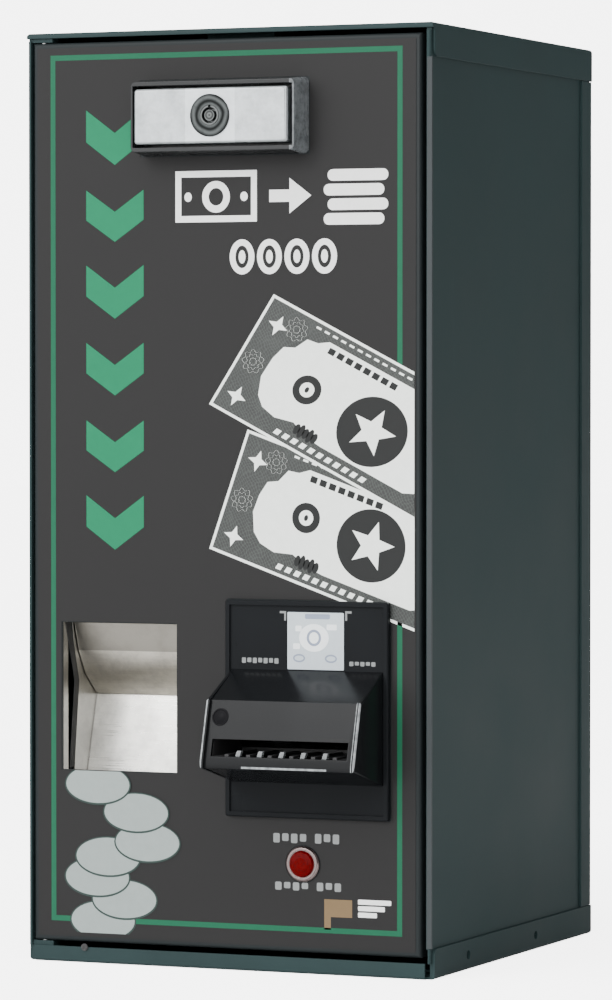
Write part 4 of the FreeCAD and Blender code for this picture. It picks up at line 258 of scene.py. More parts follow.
@dataclass(frozen=True)
class PowderCoat(Finish):
    """Baked powder paint: fine orange peel, faint clouding and a few rub marks."""

    specular: float = 0.45

    def dress(self, shading: Shading) -> None:
        """Add clouding, rub marks and orange peel."""
        clouds = shading.noise(9.0, detail=4.0)
        colour = shading.tone(shading.spread(clouds, 0.0, 1.0, start=0.3, end=0.7), 0.88, 1.12)
        rubs = shading.noise(55.0, detail=6.0, roughness=0.7, vector=shading.mapped((1.0, 1.0, 0.25)))
        marks = shading.spread(rubs, 0.0, 0.22, start=0.62, end=0.86)
        shading.set(Base_Color=shading.over(marks, colour, 2.0), Specular_IOR_Level=self.specular)
        shading.rough(clouds, 0.05, 0.07, start=0.3, end=0.7)
        shading.bump(shading.noise(700.0, detail=2.0), depth=0.00006, strength=0.5)


@dataclass(frozen=True)
class PrintFilm(Finish):
    """Printed polyester film on the door: even charcoal, soft sheen and a very fine tooth."""

    def dress(self, shading: Shading) -> None:
        """Add the sheen's variation, specks and the tooth."""
        clouds = shading.noise(6.0)
        specks = shading.spread(shading.noise(420.0, detail=5.0, roughness=0.8), 0.0, 0.10, start=0.62, end=0.8)
        shading.set(Base_Color=shading.over(specks, shading.tone(clouds, 0.93, 1.08), 2.2),
                    Specular_IOR_Level=0.15)
        shading.rough(clouds, 0.03, 0.05)
        shading.bump(shading.noise(1600.0, detail=2.0), depth=0.00002, strength=0.35)


@dataclass(frozen=True)
class Ink(Finish):
    """Screen-printed ink with a slightly uneven lay."""

    def dress(self, shading: Shading) -> None:
        """Add the unevenness of the ink."""
        patches = shading.noise(160.0, detail=4.0, roughness=0.7)
        shading.set(Base_Color=shading.tone(patches, 0.9, 1.06), Specular_IOR_Level=0.15)
        shading.rough(patches, 0.06, 0.08)
        shading.bump(shading.noise(1500.0), depth=0.00001, strength=0.4)


@dataclass(frozen=True)
class EngravedInk(Finish):
    """Ink of fine engraved lines over a lighter ground."""

    ground: Colour = (0.3, 0.32, 0.31)
    pitch: float = 190.0
    turn: float = 0.0

    def dress(self, shading: Shading) -> None:
        """Add two crossing sets of waving lines and worn patches."""
        colour = self.colour
        for turn, share, bend, most, start in ((0.0, 1.0, 6.0, 0.5, 0.55), (90.0, 0.8, 9.0, 0.35, 0.6)):
            turned_place = shading.mapped(turn=(0.0, self.turn + turn, 0.0))
            lines = shading.waves(self.pitch * share, Axis.X, bend, vector=turned_place)
            colour = shading.over(shading.spread(lines, 0.0, most, start, 0.95), colour, self.ground)
        patches = shading.spread(shading.noise(120.0), 0.0, 0.3, start=0.5, end=0.75)
        shading.set(Base_Color=shading.over(patches, colour, self.ground))


@dataclass(frozen=True)
class BrushedSteel(Finish):
    """Bare or plated steel with a directional grain and soft smears.

    A bright zone or a band of painted shade is an axis, a centre and a half width.
    """

    grain: Grain = Grain.ALONG_X
    lines: float = 1500.0
    depth: float = 0.00003
    smear: float = 0.08
    bright_zone: Optional[tuple[Axis, float, float]] = None
    painted_shade_band: Optional[tuple[Axis, float, float]] = None

    def dress(self, shading: Shading) -> None:
        """Add the grain to colour, roughness and bump."""
        streaks = shading.noise(self.lines, detail=4.0, roughness=0.6, vector=shading.mapped(self.grain.value))
        smears = shading.noise(70.0, detail=5.0, roughness=0.7)
        colour = shading.over(shading.spread(smears, 0.0, 0.8, start=0.42, end=0.72), shading.tone(streaks, 0.82, 1.12),
                              0.60)
        # A bright zone lightens the colour; the band of painted shade darkens it.
        for zone, weight, share in ((self.bright_zone, 0.30, 1.6), (self.painted_shade_band, 0.8, 0.35)):
            if zone is not None:
                colour = shading.over(shading.math("MULTIPLY", shading.near(*zone), weight), colour, share)
        grained = shading.spread(streaks, self.roughness - 0.08, self.roughness + 0.08, start=0.3, end=0.7)
        smeared = shading.spread(smears, 0.0, self.smear, 0.45, 0.75)
        shading.set(Base_Color=colour, Metallic=1.0, Roughness=shading.math("ADD", grained, smeared))
        shading.bump(streaks, depth=self.depth, strength=0.6)


@dataclass(frozen=True)
class PolishedMetal(Finish):
    """Bright plating with faint wipe marks."""

    def dress(self, shading: Shading) -> None:
        """Add wipe marks and a little waviness."""
        wipes = shading.noise(90.0, detail=5.0, roughness=0.7, vector=shading.mapped((1.0, 1.0, 0.3)))
        shading.set(Base_Color=shading.tone(wipes, 0.85, 1.1), Metallic=1.0)
        shading.rough(wipes, 0.05, 0.12, start=0.35, end=0.75)
        shading.bump(shading.noise(60.0, detail=2.0), depth=0.0001, strength=0.12)


@dataclass(frozen=True)
class SpunMetal(Finish):
    """Turned metal with rings about the Y axis through a centre, in millimetres."""

    centre: Point = (0.0, 0.0)
    rings: float = 420.0
    contrast: Point = (0.55, 1.15)

    def dress(self, shading: Shading) -> None:
        """Add turning rings to colour, roughness and bump."""
        rings = shading.waves(self.rings, Axis.Y, 1.5, rings=True, vector=shading.about(self.centre))
        dirt = shading.spread(shading.noise(260.0, detail=4.0, roughness=0.7), 0.0, 0.5, start=0.5, end=0.8)
        shading.set(Base_Color=shading.over(dirt, shading.tone(rings, *self.contrast), 0.4), Metallic=1.0)
        shading.rough(rings, -0.1, -0.04)
        shading.bump(rings, depth=0.00005, strength=0.6)


@dataclass(frozen=True)
class MouldedPlastic(Finish):
    """Moulded plastic: spark texture or gloss, with faint flow marks."""

    texture: float = 900.0
    depth: float = 0.00004
    specular: float = 0.5

    def dress(self, shading: Shading) -> None:
        """Add flow marks and the mould's texture."""
        flow = shading.noise(30.0, detail=3.0, roughness=0.5, vector=shading.mapped((1.0, 1.0, 0.5)))
        shading.set(Base_Color=shading.tone(flow, 0.88, 1.12), Specular_IOR_Level=self.specular)
        shading.rough(flow, 0.04, 0.07, start=0.3, end=0.7)
        shading.bump(shading.noise(self.texture, detail=2.0), depth=self.depth, strength=0.5)


@dataclass(frozen=True)
class EdgedPlastic(MouldedPlastic):
    """Gloss moulding with painted highlights on its rounded edges.

    The painted highlights lie on upright edges, bands across X in front of a leaning plane given by its slope and
    offset, and on a lip, where a band across X and one across Z cross, in front of an upright plane.
    """

    # Colour of the painted highlights, then where they lie; the defaults put them on the snout's cheek edges and lip.
    highlight_colour: Colour = (0.34, 0.36, 0.37)
    upright_edges: tuple[Point, ...] = ((4.7, 0.7), (99.9, 0.6), (101.9, 0.6))
    lean: Point = (-0.2817, -219.4)
    lip: Optional[tuple[Point, Point]] = ((57.0, 27.0), (124.9, 0.6))
    lip_front: float = -181.6

    def dress(self, shading: Shading) -> None:
        """Add the moulding's texture, then the painted highlights on its edges."""
        super().dress(shading)
        edges, *others = [shading.near(Axis.X, *edge) for edge in self.upright_edges]
        for other in others:
            edges = shading.math("MAXIMUM", edges, other)
        edges = shading.math("MULTIPLY", edges, shading.below((0.0, 1.0, self.lean[0]), self.lean[1]))
        if self.lip is not None:
            across, along = self.lip
            lip = shading.math("MULTIPLY", shading.near(Axis.X, *across), shading.near(Axis.Z, *along))
            lip = shading.math("MULTIPLY", lip, shading.below((0.0, 1.0, 0.0), self.lip_front))
            edges = shading.math("MAXIMUM", edges, lip)
        # Painted highlight: the edge bands, broken up by noise, lighten the moulding's colour.
        highlight_breakup = shading.spread(shading.noise(240.0, detail=4.0, roughness=0.7), 0.45, 1.0, start=0.35, end=0.6)
        base = shading.tone(shading.noise(30.0), 0.88, 1.12)
        shading.set(Base_Color=shading.over(shading.math("MULTIPLY", edges, highlight_breakup), base, self.highlight_colour))


@dataclass(frozen=True)
class Rubber(Finish):
    """Matt rubber with a fine tooth and dusty patches."""

    def dress(self, shading: Shading) -> None:
        """Add dust and tooth."""
        dust = shading.spread(shading.noise(70.0, detail=5.0, roughness=0.7), 0.0, 1.0, start=0.35, end=0.75)
        shading.set(Base_Color=shading.tone(dust, 1.0, 1.7), Specular_IOR_Level=0.25)
        shading.bump(shading.noise(1300.0, detail=2.0), depth=0.00008, strength=0.5)


@dataclass(frozen=True)
class SignalLens(Finish):
    """Red lamp lens: deep colour, a fluted inner pattern and a gloss front."""

    centre: Point = (0.0, 0.0)

    def dress(self, shading: Shading) -> None:
        """Add the inner flutes and facets."""
        about = shading.about(self.centre)
        flutes = shading.waves(260.0, Axis.Y, rings=True, vector=about)
        facets = shading.cells(520.0, about)
        glints = shading.spread(facets, 0.0, 0.35, start=0.25, end=0.7)
        colour = shading.over(glints, shading.tone(flutes, 0.62, 1.25), 2.2)
        shading.set(Base_Color=colour, Coat_Weight=0.03, Coat_Roughness=0.05, Specular_IOR_Level=0.04,
                    Emission_Color=(0.6, 0.0, 0.0), Emission_Strength=0.04)
        shading.bump(facets, depth=0.0003, strength=0.35)


@dataclass(frozen=True)
class ClearPlastic(Finish):
    """Clear moulded light guide."""

    def dress(self, shading: Shading) -> None:
        """Add a little haze."""
        haze = shading.noise(350.0)
        shading.set(Base_Color=shading.tone(haze, 0.9, 1.0), Transmission_Weight=0.35, IOR=1.49,
                    Coat_Weight=0.6)
        shading.rough(haze, 0.05, 0.1)


@dataclass(frozen=True)
class CircuitBoard(Finish):
    """Solder mask over copper tracks, with dark components on it."""

    pad_colour: Colour = (0.62, 0.60, 0.55)
    component_face: float = 119.2
    component_colour: Colour = (0.025, 0.026, 0.030)

    def dress(self, shading: Shading) -> None:
        """Add tracks, solder pads and components."""
        tracks = shading.node("TexBrick", settings={"offset": 0.35},
                              Vector=shading.mapped(turn=(0.0, 90.0, 90.0)), Scale=120.0,
                              Mortar_Size=0.06, Brick_Width=0.9, Row_Height=0.35).outputs["Fac"]
        pads = shading.spread(shading.cells(260.0), 1.0, 0.0, start=0.12, end=0.2)
        colour = shading.over(pads, shading.tone(tracks, 1.0, 1.9), self.pad_colour)
        raised = shading.below((1.0, 0.0, 0.0), self.component_face)
        shading.set(Base_Color=shading.over(raised, colour, self.component_colour), Coat_Weight=0.5,
                    Coat_Roughness=0.15)
        shading.bump(tracks, depth=0.00004, strength=0.6)


@dataclass(frozen=True)
class Laminations(Finish):
    """Stacked core sheets under lacquer."""

    rust_colour: Colour = (0.20, 0.11, 0.06)

    def dress(self, shading: Shading) -> None:
        """Add the sheets' edges and rust."""
        sheets = shading.waves(330.0, Axis.Y, 0.6)
        rust = shading.spread(shading.noise(85.0, detail=5.0, roughness=0.7), 0.0, 0.35, start=0.5, end=0.8)
        shading.set(Base_Color=shading.over(rust, shading.tone(sheets, 0.45, 1.2), self.rust_colour),
                    Metallic=0.4)
        shading.bump(sheets, depth=0.0002, strength=0.8)


HANDLE_CENTRE: Point = (-1.1, 507.2)
LAMP_CENTRE: Point = (49.7, 65.3)
# Texture and depth of polished mouldings.
GLOSS: Point = (500.0, 0.00002)

CABINET_PAINT = PowderCoat("cabinet_paint", (0.0201, 0.0357, 0.0366), 0.50, specular=0.09)
DOOR_PAINT = PowderCoat("door_paint", (0.0120, 0.0155, 0.0165), 0.45, specular=0.15)
# A lighter copy of the cabinet's paint for the hem beside the door: a painted highlight on its rounded front edge.
HEM_HIGHLIGHT_PAINT = PowderCoat("hem_highlight_paint", (0.030, 0.036, 0.038), 0.40, specular=0.2)
FILM = PrintFilm("door_film_charcoal", (0.0150, 0.0148, 0.0150), 0.45)
GREEN_INK = Ink("green_ink", (0.004, 0.165, 0.075), 0.5)
GREEN_LINE = Ink("green_line", (0.008, 0.095, 0.048), 0.5)
WHITE_INK = Ink("white_ink", (0.88, 0.89, 0.88), 0.45)
COIN_INK = Ink("coin_ink", (0.27, 0.31, 0.30), 0.45)
COIN_EDGE = Ink("coin_edge", (0.028, 0.045, 0.040), 0.5)
DULL_WHITE = Ink("dull_white", (0.22, 0.23, 0.23), 0.5)
TAN_INK = Ink("tan_ink", (0.17, 0.115, 0.06), 0.5)
DARK_INK = Ink("dark_ink", (0.016, 0.017, 0.017), 0.45)
PAPER_INK = Ink("paper_ink", (0.91, 0.96, 0.91), 0.5)
LABEL_PAPER = Ink("label_paper", (0.52, 0.58, 0.62), 0.4)
LABEL_BLUE = Ink("label_blue", (0.25, 0.29, 0.38), 0.4)
LABEL_WHITE = Ink("label_white", (0.86, 0.90, 0.92), 0.4)
NOTE_INK = EngravedInk("note_ink", (0.010, 0.012, 0.011), 0.5, ground=(0.050, 0.058, 0.053), turn=27.0)
STAINLESS = BrushedSteel("stainless", (0.72, 0.71, 0.67), 0.30)
# Painted shade darkens the cup's left inner wall.
CUP_STEEL = BrushedSteel("cup_steel", (0.76, 0.75, 0.71), 0.32, smear=0.05, painted_shade_band=(Axis.X, -108.9, 1.2))
# Painted shade darkens the baffle's upper strip, above its fold.
BAFFLE_STEEL = BrushedSteel("baffle_steel", (0.72, 0.68, 0.60), 0.36, painted_shade_band=(Axis.Z, 203.0, 15.5))
ZINC = BrushedSteel("zinc_plate", (0.56, 0.57, 0.58), 0.36, Grain.CROSSED, lines=300.0, depth=0.00002)
BOX_ZINC = BrushedSteel("galvanised_sheet", (0.50, 0.51, 0.52), 0.40, Grain.CROSSED, lines=90.0, depth=0.00002,
                        smear=0.14)
SATIN_BAR = BrushedSteel("satin_bar", (0.50, 0.53, 0.545), 0.40, Grain.CROSSED, lines=420.0, depth=0.00006,
                         smear=0.10, bright_zone=(Axis.X, HANDLE_CENTRE[0], 16.0))
MOTOR_STEEL = BrushedSteel("motor_steel", (0.46, 0.46, 0.47), 0.35, Grain.ALONG_Z, lines=500.0)
LOCK_STEEL = SpunMetal("lock_steel", (0.022, 0.024, 0.024), 0.36, HANDLE_CENTRE, rings=75.0, contrast=(0.5, 3.2))
PLUG_STEEL = SpunMetal("plug_steel", (0.085, 0.09, 0.09), 0.34, HANDLE_CENTRE, rings=150.0, contrast=(0.35, 1.3))
LAMP_METAL = SpunMetal("lamp_metal", (0.26, 0.205, 0.20), 0.24, LAMP_CENTRE, rings=300.0)
PIN_STEEL = PolishedMetal("pin_steel", (0.50, 0.50, 0.50), 0.25)
GLOSS_BLACK = MouldedPlastic("gloss_black", (0.0060, 0.0066, 0.0074), 0.20, *GLOSS, specular=0.10)
# Gloss black with painted highlights on the snout's cheek edges and on the mouth's lip.
SNOUT_BLACK = EdgedPlastic("snout_black", (0.0060, 0.0066, 0.0074), 0.20, *GLOSS, specular=0.12)
# Gloss black with a painted reflection: a lighter band on the handle frame's right flare.
FRAME_BLACK = EdgedPlastic("frame_black", (0.014, 0.015, 0.016), 0.25, *GLOSS, specular=0.3,
                           highlight_colour=(0.150, 0.162, 0.170), upright_edges=((51.2, 2.6),), lean=(0.0, 1000.0),
                           lip=None)
EMBLEM_GREY = MouldedPlastic("emblem_grey", (0.004, 0.004, 0.005), 0.35, *GLOSS, specular=0.05)
PLATE_BLACK = MouldedPlastic("plate_black", (0.0090, 0.0100, 0.0112), 0.30, *GLOSS, specular=0.05)
MATT_BLACK = MouldedPlastic("matt_black", (0.020, 0.020, 0.021), 0.55)
NATURAL_PLASTIC = MouldedPlastic("natural_plastic", (0.74, 0.73, 0.69), 0.38, texture=700.0)
GREY_PLASTIC = MouldedPlastic("grey_plastic", (0.24, 0.25, 0.26), 0.48, texture=800.0)
BLUE_PLASTIC = MouldedPlastic("blue_plastic", (0.05, 0.14, 0.32), 0.34, texture=700.0)
CLEAR = ClearPlastic("clear_guide", (0.30, 0.32, 0.33), 0.22)
RED_LENS = SignalLens("red_lens", (0.060, 0.0, 0.0005), 0.30, LAMP_CENTRE)
ROLLER_RUBBER = Rubber("roller_rubber", (0.055, 0.055, 0.058), 0.62)
BELT_RUBBER = Rubber("belt_rubber", (0.030, 0.030, 0.030), 0.70)
MASK = CircuitBoard("solder_mask", (0.012, 0.120, 0.055), 0.30)
CORE = Laminations("core_sheets", (0.20, 0.20, 0.21), 0.5)


# ---------------------------------------------------------------- meshes


def linked(name: str, data: bpy.types.ID) -> Piece:
    """A new object at the origin, linked to the scene."""
    made = bpy.data.objects.new(name, data)
    bpy.context.scene.collection.objects.link(made)
    return made


def new_object(name: str, shape: Shape, smooth_angle: float = 35.0) -> Piece:
    """Turn a bmesh into a linked object at the origin, smooth up to an angle.

    Args:
        name: Name of the object.
        shape: The bmesh, which is freed.
        smooth_angle: Edges sharper than this, in degrees, stay sharp.

    Returns:
        The object.
    """
    limit = math.radians(smooth_angle)
    for face in shape.faces:
        face.smooth = True
    for edge in shape.edges:
        edge.smooth = len(edge.link_faces) == 2 and edge.calc_face_angle(math.pi) < limit
    mesh = bpy.data.meshes.new(name)
    shape.to_mesh(mesh)
    shape.free()
    return linked(name, mesh)


def prism(outline: Sequence[Point], axis: Axis, low: float, high: float) -> Shape:
    """Closed prism from an outline, in millimetres.

    Args:
        outline: Corners in the plane of the other two axes, in X, Y, Z order.
        axis: Axis along which the prism runs.
        low: Lower end.
        high: Upper end.

    Returns:
        The bmesh.
    """
    shape = bmesh.new()

    def corner(point: Point, level: float) -> bmesh.types.BMVert:
        place = list(point)
        place.insert(axis.value, level)
        return shape.verts.new([value * MM for value in place])

    lower = [corner(point, low) for point in outline]
    upper = [corner(point, high) for point in outline]
    shape.faces.new(lower)
    shape.faces.new(upper)
    for index in range(len(outline)):
        after = (index + 1) % len(outline)
        shape.faces.new((lower[index], lower[after], upper[after], upper[index]))
    bmesh.ops.recalc_face_normals(shape, faces=shape.faces)
    return shape


def turned(profile: Sequence[Point], steps: int) -> Shape:
    """Solid of revolution about the Y axis.

    Args:
        profile: (radius, along) points in millimetres; the first and last have radius 0.
        steps: Facets round the axis.

    Returns:
        The bmesh.
    """
    shape = bmesh.new()
    rows = []
    for radius, along in profile:
        angles = [2 * math.pi * step / steps for step in range(steps if radius > 0 else 1)]
        rows.append([shape.verts.new((radius * math.cos(angle) * MM, along * MM, radius * math.sin(angle) * MM))
                     for angle in angles])
    for first, second in zip(rows, rows[1:]):
        for step in range(steps):
            after = (step + 1) % steps
            loop = [first[step % len(first)], first[after % len(first)],
                    second[after % len(second)], second[step % len(second)]]
            unique = list(dict.fromkeys(loop))
            if len(unique) > 2:
                shape.faces.new(unique)
    bmesh.ops.recalc_face_normals(shape, faces=shape.faces)
    return shape


def around(centre: Point, wide: float, tall: float, start: float, end: float, steps: int,
           closed: bool = False) -> list[Point]:
    """Points on an elliptical arc.

    Args:
        centre: Centre of the ellipse.
        wide: Half width.
        tall: Half height.
        start: First angle in degrees.
        end: Last angle in degrees.
        steps: Number of chords.
        closed: True to leave out the last point, which is the first one again.

    Returns:
        The points.
    """
    angles = [math.radians(start + (end - start) * step / steps) for step in range(steps + (not closed))]
    return [(centre[0] + wide * math.cos(angle), centre[1] + tall * math.sin(angle)) for angle in angles]


def box(left: float, right: float, low: float, high: float) -> list[Point]:
    """Outline of a rectangle."""
    return [(left, low), (right, low), (right, high), (left, high)]


def rounded(left: float, right: float, low: float, high: float, radius: float) -> list[Point]:
    """Outline of a rectangle with round corners."""
    points = []
    corners = ((right - radius, high - radius), (left + radius, high - radius), (left + radius, low + radius),
               (right - radius, low + radius))
    for quarter, corner in enumerate(corners):
        points += around(corner, radius, radius, quarter * 90, quarter * 90 + 90, steps=5)
    return points


def star(centre: Point, outer: float, inner: float, points: int) -> list[Point]:
    """Outline of a star."""
    outline = []
    for step in range(points * 2):
        radius = outer if step % 2 == 0 else inner
        angle = math.pi * step / points + math.pi / 2
        outline.append((centre[0] + radius * math.cos(angle), centre[1] + radius * math.sin(angle)))
    return outline


def bevelled(piece: Piece, width: float, segments: int = 2, angle: float = 40.0) -> Piece:
    """Round the sharp edges of a piece.

    Args:
        piece: The piece.
        width: Width in millimetres.
        segments: Facets across the rounding.
        angle: Edges sharper than this are rounded.

    Returns:
        The piece.
    """
    modifier = piece.modifiers.new("edges", "BEVEL")
    modifier.width = width * MM
    modifier.segments = segments
    modifier.limit_method = "ANGLE"
    modifier.angle_limit = math.radians(angle)
    modifier.harden_normals = True
    modifier.use_clamp_overlap = True
    return piece


def merged_copy(node: str, weld: float = 2e-6, flat_angle: float = 0.6) -> Shape:
    """A CAD node's mesh with its loose triangles merged and its flat faces joined.

    Args:
        node: Name of the node.
        weld: Vertices closer than this, in metres, become one.
        flat_angle: Faces that meet at less than this, in degrees, become one.

    Returns:
        The bmesh.
    """
    shape = bmesh.new()
    shape.from_mesh(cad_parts[node].data)
    bmesh.ops.remove_doubles(shape, verts=shape.verts, dist=weld)
    bmesh.ops.dissolve_limit(shape, angle_limit=math.radians(flat_angle), verts=shape.verts,
                             edges=shape.edges, use_dissolve_boundaries=False)
    return shape


@dataclass(frozen=True)
class Soft:
    """A CAD node that a copy with rounded edges stands in for.

    Attributes:
        node: Name of the CAD node.
        finish: Its finish.
        slot: The record's material slot.
        width: Width of the rounding in millimetres.
        segments: Facets across it.
    """

    node: str
    finish: Finish
    slot: str
    width: float = 0.3
    segments: int = 2


@dataclass
class Assembly:
    """A sub-assembly that rides on one body, with the CAD nodes that it dresses.

    Attributes:
        body: Name of the body.
        soft: Nodes to soften.
        kept: Nodes kept as they are, each with its finish.
    """

    body: str
    soft: Sequence[Soft] = ()
    kept: Sequence[tuple[str, Finish]] = ()

    def add(self, piece: Piece, finish: Finish, slot: str, replaces: Sequence[str] = ()) -> Piece:
        """Dress a finished piece, let it ride on the body and report it.

        Args:
            piece: The piece.
            finish: Its finish.
            slot: The record's material slot; not used.
            replaces: CAD nodes that it stands for.

        Returns:
            The piece.
        """
        piece.data.materials.clear()
        piece.data.materials.append(finish.material())
        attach(piece, self.body)
        if replaces:
            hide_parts(*replaces)
        log.info("%s on %s: %d faces", piece.name, self.body, len(piece.data.polygons))
        return piece

    def softened(self, row: Soft) -> None:
        """Stand in for a CAD node with a copy whose edges are rounded."""
        piece = new_object(f"{row.node}_soft", merged_copy(row.node))
        self.add(bevelled(piece, row.width, row.segments), row.finish, row.slot, [row.node])

    def finished(self, node: str, finish: Finish) -> None:
        """Keep a CAD node as it is and give it its finish."""
        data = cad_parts[node].data
        data.materials.clear()
        data.materials.append(finish.material())
        log.info("%s kept with %s", node, finish.name)

    def make(self) -> None:
        """Dress the nodes."""
        for row in self.soft:
            self.softened(row)
        for node, finish in self.kept:
            self.finished(node, finish)


# ---------------------------------------------------------------- geometry nodes


class NodeTree(Graph):
    """Writes a Geometry Nodes tree with named inputs."""

    prefix = "GeometryNode"

    def __init__(self, name: str) -> None:
        """Start a named tree with one geometry input and one geometry output."""
        super().__init__(bpy.data.node_groups.new(name, "GeometryNodeTree"))
        for way in ("INPUT", "OUTPUT"):
            self.tree.interface.new_socket("Geometry", in_out=way, socket_type="NodeSocketGeometry")
        self.source = self.tree.nodes.new("NodeGroupInput")
        self.result = self.tree.nodes.new("NodeGroupOutput")

    def number(self, name: str, value: float, whole: bool = False) -> Socket:
        """Add a named number input with its value, and return its socket inside the tree."""
        kind = "NodeSocketInt" if whole else "NodeSocketFloat"
        socket = self.tree.interface.new_socket(name, in_out="INPUT", socket_type=kind)
        socket.default_value = value
        return self.source.outputs[name]

    def share(self, value: object, factor: object) -> Node:
        """A number times a factor."""
        return self.math("MULTIPLY", value, factor)

    def vector(self, x: object = 0.0, y: object = 0.0, z: object = 0.0) -> Node:
        """Combine three numbers."""
        return self.node("ShaderNodeCombineXYZ", x, y, z)

    def apply(self, name: str, geometry: Node, finish: Finish, places: Sequence[Triple]) -> Piece:
        """End the tree in Realize Instances and Set Material, and run it on a cloud of points.

        Args:
            name: Name of the piece.
            geometry: What the tree makes.
            finish: The finish of the piece.
            places: The points in millimetres.

        Returns:
            The piece, a plain mesh.
        """
        material = self.node("SetMaterial", Geometry=self.node("RealizeInstances", Geometry=geometry))
        material.inputs["Material"].default_value = finish.material()
        self.feed(self.result.inputs[0], material)
        cloud = bpy.data.meshes.new(f"{name}_points")
        cloud.from_pydata([[value * MM for value in place] for place in places], [], [])
        carrier = linked(f"{name}_carrier", cloud)
        modifier = carrier.modifiers.new("repeat", "NODES")
        modifier.node_group = self.tree
        depsgraph = bpy.context.evaluated_depsgraph_get()
        mesh = bpy.data.meshes.new_from_object(carrier.evaluated_get(depsgraph))
        carrier.modifiers.remove(modifier)
        bpy.data.objects.remove(carrier)
        bpy.data.meshes.remove(cloud)
        mesh.name = name
        return linked(name, mesh)


# How an instance that stands on +Z turns to face the front or the left.
FACE_FRONT: Triple = (math.pi / 2, 0.0, 0.0)
FACE_LEFT: Triple = (0.0, -math.pi / 2, 0.0)


@dataclass
class ScrewHeads:
    """Pan-head screws with a cross recess, repeated at given places and facing one way."""

    facing: Triple
    finish: Finish
    radius: float
    height: float

    def make(self, name: str, places: Sequence[Triple]) -> Piece:
        """Build the screws.

        Args:
            name: Name of the piece.
            places: Points on the seat, in millimetres.

        Returns:
            The piece.
        """
        tree = NodeTree(f"{name}_tree")
        radius = tree.number("Head radius", self.radius * MM)
        height = tree.number("Head height", self.height * MM)
        seed = tree.number("Turn seed", 7, whole=True)
        points = tree.node("MeshToPoints", Mesh=tree.source)
        head = tree.node("MeshCylinder", Vertices=24, Radius=radius, Depth=height)
        crown = tree.node("MeshCylinder", Vertices=24, Radius=tree.share(radius, 0.8),
                          Depth=tree.share(height, 1.5))
        recessed = tree.node("MeshBoolean", crown, settings={"operation": "DIFFERENCE", "solver": "EXACT"})
        for turn in (0.0, math.pi / 2):
            size = tree.vector(tree.share(radius, 1.15), tree.share(radius, 0.26), tree.share(height, 1.2))
            bar = tree.node("Transform", Geometry=tree.node("MeshCube", Size=size), Rotation=(0.0, 0.0, turn),
                            Translation=tree.vector(z=tree.share(height, 0.95)))
            tree.feed(recessed.inputs[1], bar)
        both = tree.node("JoinGeometry", head)
        tree.feed(both.inputs[0], recessed)
        raised = tree.node("Transform", Geometry=both, Translation=tree.vector(z=tree.share(height, 0.5)))
        spin = tree.node("FunctionNodeRandomValue", None, None, 0.0, math.pi,
                         settings={"data_type": "FLOAT"}, Seed=seed)
        placed = tree.node("InstanceOnPoints", Points=points, Instance=raised, Rotation=self.facing)
        twisted = tree.node("RotateInstances", Instances=placed, Rotation=tree.vector(z=spin.outputs[1]),
                            Local_Space=True)
        return tree.apply(name, twisted, self.finish, places)


@dataclass
class BlockRow:
    """Small blocks repeated along a line, such as connector pins."""

    finish: Finish
    size: Triple
    step: Triple
    count: int

    def make(self, name: str, start: Triple) -> Piece:
        """Build the row.

        Args:
            name: Name of the piece.
            start: Middle of the first block, in millimetres.

        Returns:
            The piece.
        """
        tree = NodeTree(f"{name}_tree")
        count = tree.number("Count", self.count, whole=True)
        sizes = [tree.number(f"Block {axis.name}", length * MM) for axis, length in zip(Axis, self.size)]
        steps = [tree.number(f"Step {axis.name}", length * MM) for axis, length in zip(Axis, self.step)]
        line = tree.node("MeshLine", Count=count, Offset=tree.vector(*steps))
        placed = tree.node("InstanceOnPoints", Points=tree.source, Instance=line)
        spread = tree.node("RealizeInstances", Geometry=placed)
        block = tree.node("MeshCube", Size=tree.vector(*sizes))
        blocks = tree.node("InstanceOnPoints", Points=spread, Instance=block)
        return tree.apply(name, blocks, self.finish, [start])


@dataclass
class Rosettes:
    """Engraved rosettes: waved rings of growing size, repeated at given places on a plane facing -Y."""

    finish: Finish
    radius: float
    rings: int
    petals: int
    width: float
    depth: float
    corners: int = 120
    wave: float = 0.12

    def make(self, name: str, places: Sequence[Triple]) -> Piece:
        """Build the rosettes.

        Args:
            name: Name of the piece.
            places: Centres, in millimetres.

        Returns:
            The piece.
        """
        tree = NodeTree(f"{name}_tree")
        radius = tree.number("Outer radius", self.radius * MM)
        rings = tree.number("Rings", self.rings, whole=True)
        petals = tree.number("Petals", self.petals, whole=True)
        width = tree.number("Line width", self.width * MM)
        depth = tree.number("Line depth", self.depth * MM)
        index = tree.node("InputIndex")
        angle = tree.share(index, 2 * math.pi / self.corners)
        reach = tree.math("ADD", 1.0, tree.share(tree.math("SINE", tree.share(angle, petals)), self.wave))
        place = tree.vector(tree.share(tree.math("COSINE", angle), reach), 0.0,
                            tree.share(tree.math("SINE", angle), reach))
        circle = tree.node("MeshCircle", Vertices=self.corners, Radius=1.0)
        waved = tree.node("SetPosition", Geometry=circle, Position=place)
        scale = tree.share(tree.math("DIVIDE", tree.math("ADD", index, 1.0), rings), radius)
        stack = tree.node("MeshLine", Count=rings, Offset=(0.0, 0.0, 0.0))
        nested = tree.node("InstanceOnPoints", Points=stack, Instance=tree.node("MeshToCurve", Mesh=waved),
                           Scale=tree.vector(scale, scale, scale),
                           Rotation=tree.vector(y=tree.share(index, math.pi / self.petals)))
        ribbons = tree.node("CurveToMesh", Curve=tree.node("RealizeInstances", Geometry=nested),
                            Profile_Curve=tree.node("CurvePrimitiveQuadrilateral", width, depth))
        placed = tree.node("InstanceOnPoints", Points=tree.source, Instance=ribbons)
        return tree.apply(name, placed, self.finish, places)


# ---------------------------------------------------------------- print


